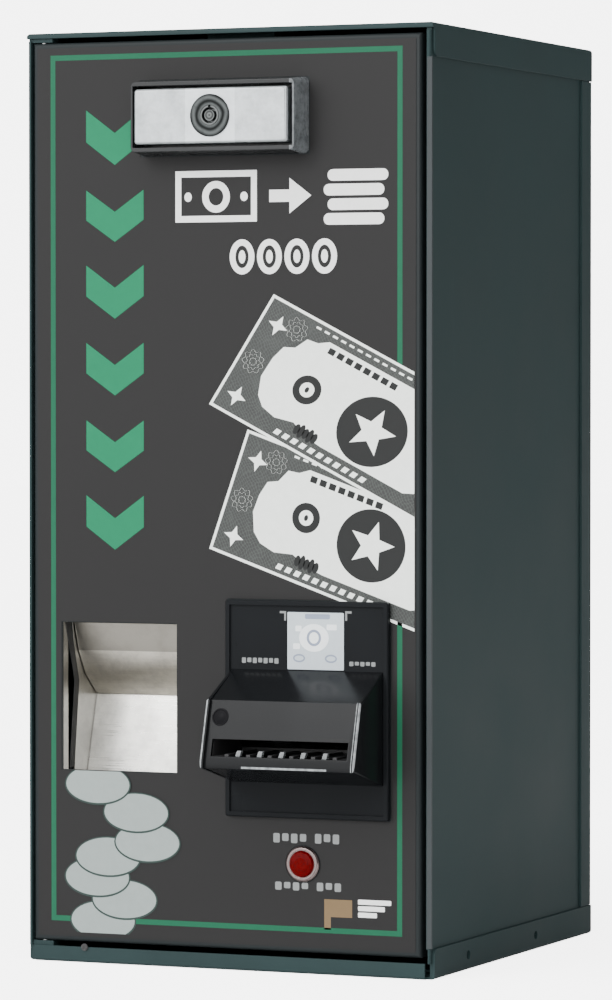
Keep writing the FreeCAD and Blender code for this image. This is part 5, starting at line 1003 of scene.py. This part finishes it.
class Print:
    """Flat printed shapes in the door's plane; coordinates are (x, z) in millimetres."""

    def __init__(self) -> None:
        """Start an empty print."""
        self.shape = bmesh.new()

    def corners(self, outline: Sequence[Point]) -> list[bmesh.types.BMVert]:
        """Vertices at the points of an outline."""
        return [self.shape.verts.new((x * MM, 0.0, z * MM)) for x, z in outline]

    def area(self, outline: Sequence[Point]) -> "Print":
        """Fill an outline."""
        self.shape.faces.new(self.corners(outline))
        return self

    def band(self, outer: Sequence[Point], inner: Sequence[Point]) -> "Print":
        """Fill the ring between two outlines with the same number of points."""
        far, near = self.corners(outer), self.corners(inner)
        for index in range(len(far)):
            after = (index + 1) % len(far)
            self.shape.faces.new((far[index], far[after], near[after], near[index]))
        return self

    def oval(self, centre: Point, wide: float, tall: float, steps: int = 40) -> "Print":
        """Fill an ellipse with the given half sizes."""
        return self.area(around(centre, wide, tall, 0, 360, steps, closed=True))

    def ring(self, centre: Point, wide: float, tall: float, width: float, steps: int) -> "Print":
        """Fill an elliptical ring of a given line width, inside the half sizes."""
        return self.band(around(centre, wide, tall, 0, 360, steps, closed=True),
                         around(centre, wide - width, tall - width, 0, 360, steps, closed=True))

    def frame(self, left: float, right: float, low: float, high: float, width: float) -> "Print":
        """Fill a rectangular line inside the given edges."""
        return self.band(box(left, right, low, high), box(left + width, right - width, low + width, high - width))

    def slanted(self, origin: Point, along: Point, up: Point) -> "Print":
        """Take the shapes from local (u, v) millimetres into the door's plane.

        Args:
            origin: Where local (0, 0) goes.
            along: Direction of u.
            up: Direction of v.

        Returns:
            This print.
        """
        for vertex in self.shape.verts:
            u, v = vertex.co.x, vertex.co.z
            vertex.co.x = origin[0] * MM + u * along[0] + v * up[0]
            vertex.co.z = origin[1] * MM + u * along[1] + v * up[1]
        return self

    def trimmed(self, right: Optional[float] = None, low: Optional[float] = None,
                high: Optional[float] = None) -> "Print":
        """Cut away what lies past the given limits."""
        for limit, direction in ((right, (1, 0, 0)), (high, (0, 0, 1)), (low, (0, 0, -1))):
            if limit is not None:
                geometry = self.shape.verts[:] + self.shape.edges[:] + self.shape.faces[:]
                point = Vector(abs(value) * limit * MM for value in direction)
                bmesh.ops.bisect_plane(self.shape, geom=geometry, dist=1e-8, plane_co=point,
                                       plane_no=direction, clear_outer=True)
        return self

    def printed(self, name: str, front: float, thick: float = 0.03) -> Piece:
        """Give the print its thickness towards the front.

        Args:
            name: Name of the piece.
            front: Y of the surface that carries it, in millimetres.
            thick: Thickness in millimetres.

        Returns:
            The piece.
        """
        for vertex in self.shape.verts:
            vertex.co.y = front * MM
        bmesh.ops.recalc_face_normals(self.shape, faces=self.shape.faces)
        for face in self.shape.faces:
            face.normal_update()
            if face.normal.y > 0:
                face.normal_flip()
        piece = new_object(name, self.shape, smooth_angle=10.0)
        modifier = piece.modifiers.new("ink", "SOLIDIFY")
        modifier.thickness = thick * MM
        modifier.offset = 1.0
        return piece


@dataclass
class DoorPrint(Assembly):
    """Everything printed on the door's film."""

    film_front: float = -136.3
    layer: float = 0.03
    border: tuple[float, ...] = (-115.7, 113.0, 24.9, 546.4)
    border_width: float = 3.2
    chevron_middle: float = -73.0
    chevron_half: float = 19.0
    chevron_slope: float = 0.42
    chevron_levels: tuple[Point, ...] = (
        (480, 513), (434, 465), (388, 420), (342, 373.5), (296, 327), (249.5, 282),
    )
    coins: tuple[Point, ...] = (
        (-84.4, 108.2), (-59.0, 92.0), (-51.6, 74.3), (-77.7, 64.9), (-84.9, 52.4), (-66.9, 39.5), (-81.2, 26.4),
    )
    coin_half: Point = (21.0, 11.3)
    coin_limits: Point = (18.4, 116.2)
    sign_middle: float = 460.0
    note_right: float = 120.6

    def level(self, number: int) -> float:
        """Y of a print layer."""
        return self.film_front - self.layer * number

    def put(self, name: str, ink: Print, level: int, finish: Finish) -> None:
        """Print a shape on a layer."""
        self.add(ink.printed(name, self.level(level), self.layer), finish, "film")

    def make_chevrons(self) -> None:
        """Green chevrons that point down to the coin cup."""
        ink = Print()
        middle, half = self.chevron_middle, self.chevron_half
        for low, high in self.chevron_levels:
            rise = (high - low) * self.chevron_slope
            ink.area([(middle, low), (middle + half, low + rise), (middle + half, high), (middle, high - rise),
                      (middle - half, high), (middle - half, low + rise)])
        self.put("chevrons", ink, 0, GREEN_INK)

    def make_coins(self) -> None:
        """Falling coins under the cup, each over the next one below it."""
        wide, tall = self.coin_half
        for number, (x, z) in enumerate(reversed(self.coins)):
            low = self.coin_limits[0] if number == 0 else None
            high = self.coin_limits[1] if number == len(self.coins) - 1 else None
            for part, drop, more, finish in (("shadow", 0.2, 1.0, COIN_EDGE), ("face", 0.0, 0.0, COIN_INK)):
                coin = Print().oval((x, z - drop), wide + more, tall + more).trimmed(low=low, high=high)
                self.put(f"coin_{part}_{number}", coin, number * 3 + (1 if part == "shadow" else 2), finish)

    def make_signs(self) -> None:
        """White signs at the top: a note, an arrow and a stack of coins; a row of small coins below."""
        ink = Print()
        middle = self.sign_middle
        note = (-33.0, 20.0, 445.0, 475.5)
        ink.frame(*note, 3.8)
        ink.ring(((note[0] + note[1]) / 2, middle), 9.0, 9.4, width=4.2, steps=40)
        for side in (note[0] + 8.3, note[1] - 8.3):
            ink.oval((side, middle), 2.4, 2.8, steps=16)
        ink.area([(28.0, 456.4), (41.0, 456.4), (41.0, 449.5), (55.0, middle), (41.0, 470.5), (41.0, 463.6),
                  (28.0, 463.6)])
        for step in range(4):
            low, shift = 442.5 + step * 8.6, step % 2 * 2.5
            ink.area(rounded(63.0 + shift, 101.5 + shift, low, low + 6.8, 3.2))
        for step in range(4):
            centre = (10.4 + step * 17.7, 424.2)
            ink.ring(centre, 8.0, 10.4, width=3.7, steps=32)
            ink.oval(centre, 2.2, 4.0, steps=16)
        self.put("white_signs", ink, 0, WHITE_INK)

    def make_lamp_signs(self) -> None:
        """Rows of short bars over and under the lamp."""
        ink = Print()
        rows = ((30.6, 77.4, 83.0, 4), (57.4, 77.7, 83.4, 3), (31.8, 49.4, 54.2, 4), (58.6, 49.6, 54.6, 3))
        for left, low, high, bars in rows:
            for step in range(bars):
                start = left + step * 5.7
                ink.area(rounded(start, start + 4.1, low + 1.1 * (step % 2), high, 0.9))
        self.put("lamp_signs", ink, 0, DULL_WHITE)

    def make_corner_mark(self) -> None:
        """Plain tan flag and three white bars in the lower right corner."""
        flag = Print().area([(63.4, 45.0), (81.2, 45.0), (81.2, 34.6), (67.6, 34.6), (67.6, 27.0), (63.4, 27.0)])
        self.put("corner_flag", flag, 0, TAN_INK)
        bars = Print()
        for high, length in ((45.6, 21.0), (41.8, 17.0), (38.0, 12.0)):
            bars.area(rounded(85.0, 85.0 + length, high - 2.9, high, 0.5))
        self.put("corner_bars", bars, 0, WHITE_INK)

    def make_notes(self) -> None:
        """Two plain banknote pictures, the first over the second."""
        layouts = (
            ("note_b", 0, (-11.0, 251.0), -19.6, (25.0, 71.0), (97.3, 37.7), (52.9, 38.8)),
            ("note_a", 8, (-11.0, 337.0), -27.2, (42.0, 65.0), (97.3, 33.7), (48.9, 36.6)),
        )
        for name, level, origin, slope, side, disc, medallion in layouts:
            tall = math.hypot(*side)
            angle = math.radians(slope)
            along = (math.cos(angle), math.sin(angle))
            up = (side[0] / tall, side[1] / tall)
            NotePrint(self, name, level, origin, along, up, tall, disc, medallion).make()

    def make(self) -> None:
        """Print everything."""
        self.put("border_line", Print().frame(*self.border, self.border_width), 0, GREEN_LINE)
        self.make_chevrons()
        self.make_coins()
        self.make_signs()
        self.make_lamp_signs()
        self.make_corner_mark()
        self.make_notes()


@dataclass
class NotePrint:
    """A made-up banknote: plain border, engraved frame, medallion, large disc and rosettes."""

    door: DoorPrint
    name: str
    level: int
    origin: Point
    along: Point
    up: Point
    tall: float
    disc: Point
    medallion: Point
    long: float = 184.0
    edge: float = 1.7
    disc_half: Point = (22.0, 21.5)
    medallion_radius: float = 9.0

    def put(self, part: str, ink: Print, layer: int, finish: Finish) -> None:
        """Slant a shape into place, trim it at the door's edge and print it."""
        placed = ink.slanted(self.origin, self.along, self.up).trimmed(right=self.door.note_right)
        self.door.put(f"{self.name}_{part}", placed, self.level + layer, finish)

    def place(self, u: float, v: float, layer: int) -> Triple:
        """A local point in the part's frame, in millimetres."""
        return (self.origin[0] + u * self.along[0] + v * self.up[0], self.door.level(self.level + layer),
                self.origin[1] + u * self.along[1] + v * self.up[1])

    def field_outline(self) -> list[Point]:
        """Scalloped outline of the light field in the middle."""
        low, high = 10.5, self.tall - 9.0
        return [(24.0, low + 9.0), (30.0, low + 4.0), (40.0, low + 2.0), (52.0, low + 5.0), (63.0, low + 1.0),
                (74.0, low), (120.0, low), (133.0, low), (150.0, low + 8.0), (150.0, high - 10.0),
                (138.0, high), (46.0, high), (40.0, high - 4.0), (33.0, high - 5.0), (29.0, high - 13.0),
                (22.5, high - 16.0), (20.0, high - 25.0), (19.5, low + 20.0)]

    def make(self) -> None:
        """Print the note's layers from the paper up."""
        tall, long, edge = self.tall, self.long, self.edge
        self.put("paper", Print().area(box(0, long, 0, tall)), 0, PAPER_INK)
        self.put("frame", Print().area(box(edge, long - edge, edge, tall - edge)), 1, NOTE_INK)
        self.put("field", Print().area(self.field_outline()), 2, PAPER_INK)
        marks = Print().oval(self.disc, *self.disc_half, steps=48)
        marks.ring(self.medallion, self.medallion_radius, self.medallion_radius, width=4.4, steps=36)
        marks.oval(self.medallion, 1.3, 1.9, steps=12)
        for step in range(8):
            u = 48.0 + step * 6.3
            marks.area(box(u, u + 4.4, tall - 15.5, tall - 11.6))
        for step in range(5):
            marks.oval((56.0 + step * 3.1, 13.0), 1.9, 3.4 + 1.1 * (step % 2), steps=14)
        self.put("marks", marks, 3, DARK_INK)
        lights = Print().area(star(self.disc, 15.0, 6.4, 5))
        for step in range(11):
            u = 44.0 + step * 6.1
            lights.area([(u, 4.0), (u + 3.6, 4.0), (u + 4.6, 7.4), (u + 1.0, 7.4)])
        for step in range(16):
            u = 34.0 + step * 5.9
            lights.area(box(u, u + 3.4, tall - 5.4, tall - 4.1))
        for v in (tall - 15.5, 12.5):
            lights.area(star((12.5, v), 6.6, 2.6, 4))
        self.put("lights", lights, 4, PAPER_INK)
        ornaments = Rosettes(PAPER_INK, radius=6.4, rings=3, petals=9, width=0.55, depth=self.door.layer)
        corners = [self.place(10.5, tall / 2 - 3.0, 2), self.place(24.0, tall - 12.0, 2)]
        self.door.add(ornaments.make(f"{self.name}_rosettes", corners), PAPER_INK, "film")


# ---------------------------------------------------------------- sub-assemblies


@dataclass
class Cabinet(Assembly):
    """Sheet steel shell with the hinge, the keeper and the mains inlet."""

    soft: Sequence[Soft] = (
        *(Soft(panel, CABINET_PAINT, "cabinet_paint", width=0.35) for panel in (
            "top_cap", "base_pan", "back_panel", "left_side_panel", "right_side_panel", "hopper_shelf")),
        Soft("latch_keeper", CABINET_PAINT, "cabinet_paint"), Soft("hinge_brackets", CABINET_PAINT, "cabinet_paint"),
        Soft("power_inlet", MATT_BLACK, "matte_black", width=0.25),
        Soft("switch_body", MATT_BLACK, "matte_black", width=0.25),
    )
    kept: Sequence[tuple[str, Finish]] = (("hinge_pins", PIN_STEEL),)
    hem: tuple[float, ...] = (128.2, 131.6, -136.25, -134.8)
    hem_levels: Point = (18.3, 539.7)
    sill_screw: Triple = (-93.5, -136.0, 9.5)

    def make(self) -> None:
        """Add the folded hem beside the door's free edge and the sill's screw, then dress the shell."""
        hem = new_object("panel_hem", prism(box(*self.hem), Axis.Z, *self.hem_levels))
        # The hem takes the lighter paint, a painted highlight.
        self.add(bevelled(hem, width=0.3), HEM_HIGHLIGHT_PAINT, "cabinet_paint")
        heads = ScrewHeads(FACE_FRONT, MATT_BLACK, radius=2.2, height=0.9)
        self.add(heads.make("sill_screw", [self.sill_screw]), MATT_BLACK, "matte_black")
        super().make()


@dataclass
class Door(Assembly):
    """Door pan with its film, stiffener and small fittings."""

    soft: Sequence[Soft] = (
        Soft("door_shell", DOOR_PAINT, "door_paint", width=0.35), Soft("door_hinge_blocks", ZINC, "zinc_steel"),
        Soft("door_stiffener", ZINC, "zinc_steel", width=0.25),
    )
    kept: Sequence[tuple[str, Finish]] = (("door_film", FILM), ("door_nuts", ZINC))


@dataclass
class LockHandle(Assembly):
    """Pull-out locking handle: cast frame and ring nut on the door."""

    soft: Sequence[Soft] = (Soft("handle_frame", FRAME_BLACK, "dark_chrome", width=0.9, segments=3),
                             Soft("handle_nut", ZINC, "zinc_steel", width=0.4))


@dataclass
class HandleBar(Assembly):
    """Moving bar with the lock cylinder."""

    soft: Sequence[Soft] = (Soft("handle_bar", SATIN_BAR, "satin_metal", width=0.35),
                             Soft("lock_cylinder", LOCK_STEEL, "lock_steel", width=0.25))


@dataclass
class NoteReader(Assembly):
    """Banknote validator: plate, snout, tray and housings behind the door."""

    soft: Sequence[Soft] = (
        Soft("validator_plate", PLATE_BLACK, "gloss_black"),
        Soft("snout", SNOUT_BLACK, "gloss_black", width=0.7, segments=3),
        Soft("snout_tray", MATT_BLACK, "matte_black", width=0.2), Soft("mouth_lenses", CLEAR, "clear_lens", width=0.2),
        Soft("validator_base", MATT_BLACK, "matte_black"), Soft("validator_head", MATT_BLACK, "matte_black"),
        Soft("validator_motor", MOTOR_STEEL, "motor_steel"), Soft("bill_box", BOX_ZINC, "zinc_steel"),
    )
    kept: Sequence[tuple[str, Finish]] = (("feed_belts", BELT_RUBBER),)
    plate_front: float = -139.0
    label: tuple[float, ...] = (40.9, 77.0, 180.5, 214.3)
    label_centre: Point = (57.9, 199.3)
    face_lean: float = 0.2817
    emblem: Triple = (13.6, -174.96, 153.7)
    emblem_profile: tuple[Point, ...] = (
        (0.0, -0.30), (3.0, -0.30), (3.4, -0.10), (4.0, -0.10), (4.4, -0.40), (5.1, -0.40), (5.3, 0.05), (0.0, 0.05),
    )

    def put(self, name: str, ink: Print, finish: Finish, lift: float = 0.0, thick: float = 0.03) -> None:
        """Print a shape on the plate or on what lies on it."""
        self.add(ink.printed(name, self.plate_front - lift, thick), finish, "white_plastic")

    def make_label(self) -> None:
        """Pale label with a plain ring and two ovals, hooks at its corners and rows of small blocks."""
        self.put("note_label", Print().area(rounded(*self.label, 0.6)), LABEL_PAPER, thick=0.06)
        lights = Print().oval(self.label_centre, 9.5, 8.2, steps=28)
        for x, width, low in ((46.0, 4.0, 203.0), (66.0, 6.5, 204.0), (44.5, 4.5, 192.5)):
            lights.area(rounded(x, x + width, low, low + 3.4, 0.7))
        self.put("label_lights", lights, LABEL_WHITE, lift=0.06)
        marks = Print().ring(self.label_centre, 4.6, 4.9, width=1.5, steps=28)
        for x in (48.4, 68.8):
            marks.ring((x, 187.2), 3.9, 2.5, width=1.0, steps=20)
        marks.area(rounded(52.2, 68.2, 210.4, 213.4, 0.8))
        self.put("label_marks", marks, LABEL_BLUE, lift=0.09)
        hooks = Print()
        for x, side, top in ((40.0, -1, 214.8), (77.9, 1, 215.4)):
            hooks.area(box(x, x + side * 4.0, top - 1.3, top))
            hooks.area(box(x, x + side * 1.2, top - 5.6, top - 1.3))
        for start, low, tall, count in ((11.5, 183.6, 3.2, 7), (80.5, 183.2, 2.6, 5)):
            for step in range(count):
                x = start + step * 3.5
                hooks.area(rounded(x, x + 2.6, low + 0.5 * (step % 2), low + tall, 0.5))
        self.put("plate_marks", hooks, DULL_WHITE)

    def make(self) -> None:
        """Dress the validator, and add the label and a plain ringed disc on the leaning face."""
        super().make()
        self.make_label()
        shape = turned(self.emblem_profile, steps=40)
        place = Matrix.Translation([value * MM for value in self.emblem])
        shape.transform(place @ Matrix.Rotation(-math.atan(self.face_lean), 4, "X"))
        self.add(new_object("snout_emblem", shape), EMBLEM_GREY, "gloss_black")


@dataclass
class CoinCup(Assembly):
    """Stainless cup with a dark sheet on its left wall as painted shadow, and the baffle over it."""

    soft: Sequence[Soft] = (Soft("coin_cup", CUP_STEEL, "stainless", width=0.25),
                             Soft("cup_baffle", BAFFLE_STEEL, "stainless", width=0.25))
    left_wall: float = -108.3
    # Outline in (y, z) of a dark sheet on the cup's left wall: a painted shadow in the shape of the shade there.
    painted_shadow_sheet: tuple[Point, ...] = (
        (-131.8, 205.0), (-125.5, 205.0), (-113.5, 169.0), (-120.2, 116.8), (-126.5, 116.8), (-119.5, 169.4),
    )

    def make(self) -> None:
        """Add the dark sheet of painted shadow, then dress the cup and the baffle."""
        # Painted shadow: a thin dark sheet laid on the left wall.
        painted_shadow_sheet = prism(self.painted_shadow_sheet, Axis.X, self.left_wall - 0.05, self.left_wall + 0.35)
        self.add(new_object("cup_wall_painted_shadow", painted_shadow_sheet), BELT_RUBBER, "matte_black")
        super().make()


@dataclass
class SoldOutLamp(Assembly):
    """Panel lamp."""

    soft: Sequence[Soft] = (Soft("lamp_ring", LAMP_METAL, "satin_metal"), Soft("lamp_body", MATT_BLACK, "matte_black"),
                             Soft("lamp_nut", ZINC, "zinc_steel"))
    kept: Sequence[tuple[str, Finish]] = (("lamp_lens", RED_LENS),)


@dataclass
class Hopper(Assembly):
    """Coin hopper on its shelf, with the motor and the chute."""

    soft: Sequence[Soft] = (
        Soft("hopper_base", GREY_PLASTIC, "grey_plastic", width=0.5),
        Soft("hopper_bowl", GREY_PLASTIC, "grey_plastic", width=0.6),
        Soft("hopper_motor", MOTOR_STEEL, "motor_steel", width=0.4),
        Soft("coin_chute", STAINLESS, "stainless", width=0.25),
        Soft("exit_sensor", MATT_BLACK, "matte_black", width=0.4),
    )


@dataclass
class Electrics(Assembly):
    """Control board and transformer."""

    soft: Sequence[Soft] = (Soft("control_board", MASK, "board_green", width=0.25),
                            Soft("transformer", CORE, "core_iron", width=0.5))
    kept: Sequence[tuple[str, Finish]] = (("board_standoffs", NATURAL_PLASTIC),)
    board_face: float = 119.4
    board_holes: tuple[Point, ...] = ((-8.0, 297.0), (-8.0, 463.0), (108.0, 297.0), (108.0, 463.0))
    first_pin: Point = (112.4, 330.0)
    pin: Triple = (2.4, 1.1, 1.1)
    pin_step: float = 5.08
    pin_count: int = 22

    def make(self) -> None:
        """Add the board's screws and the pin row along its rear edge, then dress the electrics."""
        places = [(self.board_face, y, z) for y, z in self.board_holes]
        heads = ScrewHeads(FACE_LEFT, PIN_STEEL, radius=2.6, height=1.2)
        self.add(heads.make("board_screws", places), PIN_STEEL, "zinc_steel")
        pins = BlockRow(PIN_STEEL, self.pin, (0.0, 0.0, self.pin_step), self.pin_count)
        start = (self.board_face - self.pin[0] / 2, *self.first_pin)
        self.add(pins.make("board_pins", start), PIN_STEEL, "zinc_steel")
        super().make()


# ---------------------------------------------------------------- studio


def direction(azimuth: float, elevation: float) -> Vector:
    """Unit vector from angles in degrees; azimuth 0 is the front, and it grows to the right."""
    around_z, up = math.radians(azimuth), math.radians(elevation)
    return Vector((math.sin(around_z) * math.cos(up), -math.cos(around_z) * math.cos(up), math.sin(up)))


def aimed(made: Piece, place: Sequence[float], ahead: Vector) -> Piece:
    """Put a lamp or camera in its place, with its view along a direction."""
    made.location = place
    made.rotation_mode = "QUATERNION"
    made.rotation_quaternion = ahead.to_track_quat("-Z", "Y")
    return made


@dataclass
class Studio:
    """Pale floor, soft lights and the camera, in metres and degrees."""

    azimuth: float = 23.23
    elevation: float = 1.37
    distance: float = 3.0526
    target_side: float = -0.0063
    target_height: float = 0.277
    lens: float = 177.4
    sensor: float = 36.0
    far_clip: float = 50.0
    floor_half: float = 12.0
    floor_drop: float = 0.0002
    floor_colour: Colour = (0.93, 0.93, 0.93)
    floor_lift: float = 4.7
    room: float = 0.24
    backdrop: float = 6.0
    glow: float = 4.0
    glow_from: Point = (-15.0, 25.0)
    glow_edge: float = 0.34
    glow_core: float = 0.90
    # Name, place, side and power of each square light, and what they all point at.
    lights: tuple[tuple[str, Triple, float, float], ...] = (
        ("key", (-0.9, -2.7, 2.0), 1.0, 30.0), ("top", (0.2, 0.5, 2.6), 1.2, 12.0),
    )
    aim: Triple = (0.0, 0.0, 0.3)

    def make_camera(self) -> None:
        """Camera to the right of the front, at about half height."""
        azimuth = math.radians(self.azimuth)
        back = direction(self.azimuth, self.elevation)
        target = Vector((self.target_side * math.cos(azimuth), self.target_side * math.sin(azimuth),
                         self.target_height))
        data = bpy.data.cameras.new("camera")
        data.lens = self.lens
        data.sensor_width = self.sensor
        data.clip_end = self.far_clip
        bpy.context.scene.camera = aimed(linked("camera", data), target + back * self.distance, -back)

    def make_floor(self) -> None:
        """Wide floor just under the part, which the camera sees a little lighter than it is."""
        shape = bmesh.new()
        bmesh.ops.create_grid(shape, x_segments=1, y_segments=1, size=self.floor_half)
        floor = new_object("studio_floor", shape)
        floor.data.transform(Matrix.Translation((0.0, 0.0, -self.floor_drop)))
        shading = Shading("studio_floor", self.floor_colour, 0.9)
        seen = shading.node("LightPath").outputs["Is Camera Ray"]
        shading.set(Specular_IOR_Level=0.1, Emission_Color=(1.0, 1.0, 1.0),
                    Emission_Strength=shading.spread(seen, 0.0, self.floor_lift))
        floor.data.materials.append(shading.material)

    def make_lights(self) -> None:
        """Square soft lights."""
        for name, place, side, power in self.lights:
            data = bpy.data.lights.new(name, "AREA")
            data.size = side
            data.energy = power
            aimed(linked(name, data), place, Vector(self.aim) - Vector(place))

    def make_world(self) -> None:
        """Plain backdrop, and a room with a wide soft glow in front that lights the part."""
        world = bpy.data.worlds.new("studio")
        world.use_nodes = True
        graph = Graph(world.node_tree)
        facing = graph.node("VectorMath", graph.node("TexCoord").outputs["Generated"],
                            direction(*self.glow_from), settings={"operation": "DOT_PRODUCT"})
        glow = graph.node("MapRange", facing.outputs["Value"], self.glow_edge, self.glow_core, self.room,
                          self.glow, settings={"interpolation_type": "SMOOTHSTEP"})
        seen = graph.node("LightPath").outputs["Is Camera Ray"]
        background = world.node_tree.nodes["Background"]
        graph.feed(background.inputs["Color"], (1.0, 1.0, 1.0))
        graph.feed(background.inputs["Strength"], graph.spread(seen, glow, self.backdrop))
        bpy.context.scene.world = world

    def make(self) -> None:
        """Build the studio."""
        self.make_world()
        self.make_floor()
        self.make_lights()
        self.make_camera()


def main() -> None:
    """Build every class in order."""
    logging.basicConfig(level=logging.INFO, format="%(message)s")
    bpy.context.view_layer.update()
    Studio().make()
    assemblies = (
        Cabinet("cabinet"), Door("door"), DoorPrint("door"), LockHandle("door"), HandleBar("handle"),
        Assembly("plug", [Soft("key_plug", PLUG_STEEL, "lock_steel")]),
        Assembly("latch", [Soft(node, ZINC, "zinc_steel") for node in ("latch_spindle", "latch_cam", "cam_nut")]),
        NoteReader("door"), CoinCup("door"), SoldOutLamp("door"), Hopper("cabinet"), Electrics("cabinet"),
        Assembly("rear_feed", kept=[("feed_roller_rear", ROLLER_RUBBER), ("feed_gear", NATURAL_PLASTIC)]),
        Assembly("front_feed", kept=[("feed_roller_front", ROLLER_RUBBER)]),
        Assembly("rear_pinch", kept=[("pinch_roller_rear", ROLLER_RUBBER)]),
        Assembly("front_pinch", kept=[("pinch_roller_front", ROLLER_RUBBER)]),
        Assembly("feed_drive", kept=[("feed_pinion", NATURAL_PLASTIC)]),
        Assembly("box_lid", [Soft("bill_box_lid", BOX_ZINC, "zinc_steel")]),
        Assembly("pusher", [Soft("pusher_plate", ZINC, "zinc_steel")]),
        Assembly("coin_disc", [Soft("hopper_disc", BLUE_PLASTIC, "blue_plastic")], [("disc_gear", NATURAL_PLASTIC)]),
        Assembly("idler", kept=[("idler_gear", NATURAL_PLASTIC)]),
        Assembly("hopper_drive", kept=[("hopper_pinion", PIN_STEEL)]),
        Assembly("rocker", [Soft("switch_rocker", GLOSS_BLACK, "gloss_black")]),
    )
    for assembly in assemblies:
        assembly.make()


if __name__ == "__main__":
    main()
